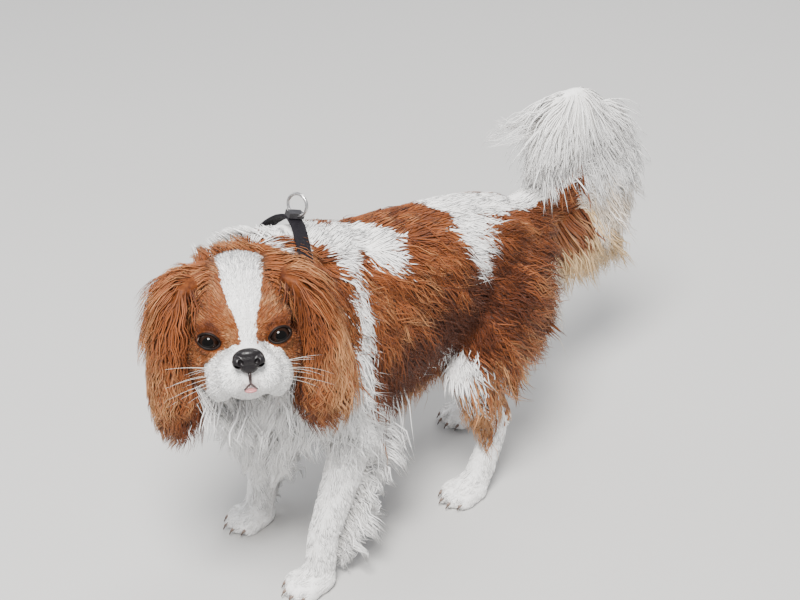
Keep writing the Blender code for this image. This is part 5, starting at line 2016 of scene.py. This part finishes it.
@dataclass
class Whiskers:
    """Long pale whiskers on the cushions of the muzzle."""

    thickness: float = 0.00013
    furthest: float = 0.1165
    seed: int = 5

    def build(self, surface: Surface) -> bpy.types.Object:
        """All the whiskers as one piece."""
        draw = np.random.default_rng(self.seed)
        head = POSTURE.head()
        paths, radii = [], []
        for side in (1, -1):
            for row in range(3):
                for k in range(4):
                    root = Vector((side * (0.020 + 0.004 * k), -0.033 + 0.007 * k,
                                   -0.022 - 0.006 * row))
                    flow = Vector((side * (0.8 + 0.1 * k), 0.15 + 0.22 * k, -0.16 * row + 0.05))
                    self.add(paths, radii, head, surface, root, flow, 0.026 + 0.005 * k, draw)
        whiskers = taper("whiskers", paths, radii, 5)
        whiskers.data.materials.append(
            HornFinish("whisker", (0.80, 0.76, 0.70), (0.92, 0.90, 0.86), 0.4).material()
        )
        return whiskers

    def add(self, paths: list, radii: list, head: Matrix, surface: Surface, root: Vector,
            flow: Vector, length: float, draw: np.random.Generator) -> None:
        """One whisker from the skin nearest to a root."""
        start, normal, _, _ = surface.tree.find_nearest(head @ root)
        turn = head.to_3x3().normalized()
        heading = (turn @ flow.normalized() + normal * 0.15).normalized()
        length = length * draw.uniform(0.8, 1.2)
        if heading.x > 0:
            length = min(length, max(self.furthest - start.x, 0.004) / heading.x)
        bend = Vector((0, 0, -1)) * draw.uniform(0.25, 0.6)
        path = [start - normal * 0.001 + heading * (length * t) + bend * (length * t * t * 0.5)
                for t in (0, 0.2, 0.4, 0.6, 0.8, 1.0)]
        paths.append(path)
        radii.append([self.thickness * s for s in (1.0, 0.9, 0.75, 0.6, 0.4, 0.12)])


# The collar


@dataclass
class Collar:
    """The webbing strap with its ring, set where the solids have them."""

    centre: Point = (0.000, -0.127, 0.2945)
    facing: Vector = field(default_factory=lambda: Vector((-0.20, -0.93, 0.30)))
    ring_radius: float = 0.0095
    wire: float = 0.0014

    def strap(self) -> bpy.types.Object:
        """The strap, from the solid strap's own outline, with rounded selvedges."""
        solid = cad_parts["collar"]
        bm = bmesh.new()
        bm.from_mesh(solid.data)
        bmesh.ops.remove_doubles(bm, verts=bm.verts, dist=0.00002)
        bmesh.ops.dissolve_limit(bm, angle_limit=math.radians(1), verts=bm.verts, edges=bm.edges)
        mesh = bpy.data.meshes.new("collar_webbing")
        bm.to_mesh(mesh)
        bm.free()
        strap = add_object("collar_webbing", mesh)
        bevel = strap.modifiers.new("selvedge", "BEVEL")
        bevel.width = 0.0007
        bevel.segments = 3
        bevel.limit_method = "ANGLE"
        bevel.angle_limit = math.radians(50)
        settled(strap)
        bm = bmesh.new()
        bm.from_mesh(strap.data)
        bmesh.ops.triangulate(bm, faces=bm.faces)
        bm.to_mesh(strap.data)
        bm.free()
        strap.data.shade_smooth()
        strap.data.transform(Matrix.Translation(-SHIFT))
        points = points_of(strap.data)
        away = points - np.array(self.centre)
        facing = np.array(self.facing.normalized())
        across = away @ facing
        flat = away - across[:, None] * facing
        up = unit(np.array((0, 0, 1.0))[None] - facing * facing[2])[0]
        side = np.cross(up, facing)
        angle = np.arctan2(flat @ up, flat @ side)
        note(strap.data, "across", across)
        note(strap.data, "along", angle * 0.056)
        strap.data.materials.clear()
        strap.data.materials.append(WebbingFinish().material())
        return strap

    def ring(self) -> bpy.types.Object:
        """A round wire ring in the place of the solid ring."""
        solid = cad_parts["collar_ring"]
        points = points_of(solid.data) - np.array(SHIFT)
        middle = (points.min(axis=0) + points.max(axis=0)) / 2
        centred = points - points.mean(axis=0)
        _, _, axes = np.linalg.svd(centred, full_matrices=False)
        u, v, w = (Vector(a) for a in axes)
        steps, ring = 72, 14
        rows = []
        for k in range(steps):
            a = 2 * math.pi * k / steps
            out = u * math.cos(a) + v * math.sin(a)
            for j in range(ring):
                t = 2 * math.pi * j / ring
                spoke = out * math.cos(t) + w * math.sin(t)
                rows.append((Vector(middle) + out * self.ring_radius + spoke * self.wire)[:])
        made = closed_loop("collar_ring_wire", np.array(rows), steps, ring)
        made.data.materials.append(SteelFinish().material())
        return made


# The studio


@dataclass
class Studio:
    """Floor, lights and the camera at the photograph's angle."""

    camera_at: Point = (0.908, -0.749, 0.968)
    azimuth: float = math.radians(50)
    elevation: float = math.radians(32)
    lens: float = 67.5
    floor_half: float = 9.0

    def floor(self) -> bpy.types.Object:
        """A wide pale floor."""
        bm = bmesh.new()
        bmesh.ops.create_grid(bm, x_segments=8, y_segments=8, size=self.floor_half)
        mesh = bpy.data.meshes.new("studio_floor")
        bm.to_mesh(mesh)
        bm.free()
        mesh.materials.append(FloorFinish().material())
        return add_object("studio_floor", mesh)

    def lamp(self, name: str, place: Point, size: float, power: float, colour: Colour) -> None:
        """An area lamp that looks at the dog."""
        lamp = bpy.data.lights.new(name, "AREA")
        lamp.shape = "DISK"
        lamp.size = size
        lamp.energy = power
        lamp.color = colour
        obj = bpy.data.objects.new(name, lamp)
        bpy.context.scene.collection.objects.link(obj)
        obj.location = place
        aim = Vector((0, 0, 0.2)) - Vector(place)
        obj.rotation_mode = "QUATERNION"
        obj.rotation_quaternion = aim.to_track_quat("-Z", "Y")

    def build(self) -> bpy.types.Object:
        """Sets the whole studio up."""
        world = bpy.data.worlds.new("studio_air")
        bpy.context.scene.world = world
        world.use_nodes = True
        sky = world.node_tree.nodes["Background"]
        sky.inputs["Color"].default_value = (0.93, 0.95, 1.0, 1.0)
        sky.inputs["Strength"].default_value = 0.72
        self.lamp("key", (0.9, -1.1, 2.5), 1.0, 205.0, (1.0, 0.98, 0.95))
        self.lamp("fill", (-1.9, -0.9, 1.4), 1.6, 16.0, (0.94, 0.97, 1.0))
        self.lamp("rim", (-0.5, 1.7, 1.9), 1.0, 30.0, (1.0, 0.99, 0.97))
        camera = bpy.data.cameras.new("camera")
        camera.sensor_width = 36
        camera.lens = self.lens
        obj = bpy.data.objects.new("camera", camera)
        bpy.context.scene.collection.objects.link(obj)
        low = math.cos(self.elevation)
        back = Vector((
            math.sin(self.azimuth) * low, -math.cos(self.azimuth) * low, math.sin(self.elevation)
        ))
        obj.location = Vector(self.camera_at) + SHIFT
        obj.rotation_mode = "QUATERNION"
        obj.rotation_quaternion = (-back).to_track_quat("-Z", "Y")
        bpy.context.scene.camera = obj
        return self.floor()


def find_shift() -> Vector:
    """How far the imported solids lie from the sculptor's frame: the eyes say where the head is."""
    corners = [corner for word in ("left", "right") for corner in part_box(f"eye_{word}")]
    return sum(corners, Vector()) / 4 - Vector(POSTURE.head_at)


SHIFT = find_shift()
FLESH = ("head", "neck", "torso", "tail", "tail_plume", "leg_front_left", "leg_front_right",
         "leg_hind_left", "leg_hind_right")


def settle(piece: bpy.types.Object, slot: str, *nodes: str) -> None:
    """Moves a finished piece into the solids' frame and says what it stands for."""
    piece.data.transform(Matrix.Translation(SHIFT))
    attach(piece, BODY)
    if nodes:
        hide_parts(*nodes)
    log.info("%s stands for %s", piece.name, ", ".join(nodes) or "no node")


def main() -> None:
    """Builds every sub-assembly in order."""
    logging.basicConfig(level=logging.INFO, format="%(message)s")
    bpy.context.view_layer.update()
    floor = Studio().build()
    rims = DampSkinFinish(
        "lid_rims", (0.004, 0.003, 0.003), (0.012, 0.007, 0.006), relief=0.00008, roughness=0.5,
        coat=0.0, shine=0.12,
    )
    rim_finish = rims.material()
    hair = CoatFinish().material("coat_hair")
    skin = Skin().build()
    coat = Coat(skin, hair)
    whiskers = Whiskers().build(coat.surface)
    hair_pieces = coat.build()
    flares = {Side.LEFT: 0.008, Side.RIGHT: 0.0}
    ears = {side: Ear(side, flare=flares[side]).build(skin, hair) for side in Side}
    settle(skin, "coat", *FLESH)
    for piece in hair_pieces:
        settle(piece, "coat")
    settle(whiskers, "coat")
    for side, (leather, fur) in ears.items():
        settle(leather, "coat", f"ear_{side.word}")
        settle(fur, "coat")
        ball, lids = Eye(side).build(rim_finish)
        settle(ball, "eye", f"eye_{side.word}")
        settle(lids, "nose")
    settle(Nose().build(), "nose", "nose")
    lips, tongue = Mouth().build()
    settle(lips, "nose")
    settle(tongue, "tongue", "tongue")
    settle(Claws().build(), "nose")
    collar = Collar()
    settle(collar.strap(), "strap", "collar")
    settle(collar.ring(), "ring", "collar_ring")
    plastic = ResinFinish().material()
    for name in ("collar_keeper", "collar_slider"):
        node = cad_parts[name]
        node.data.materials.clear()
        node.data.materials.append(plastic)


if __name__ == "__main__":
    main()
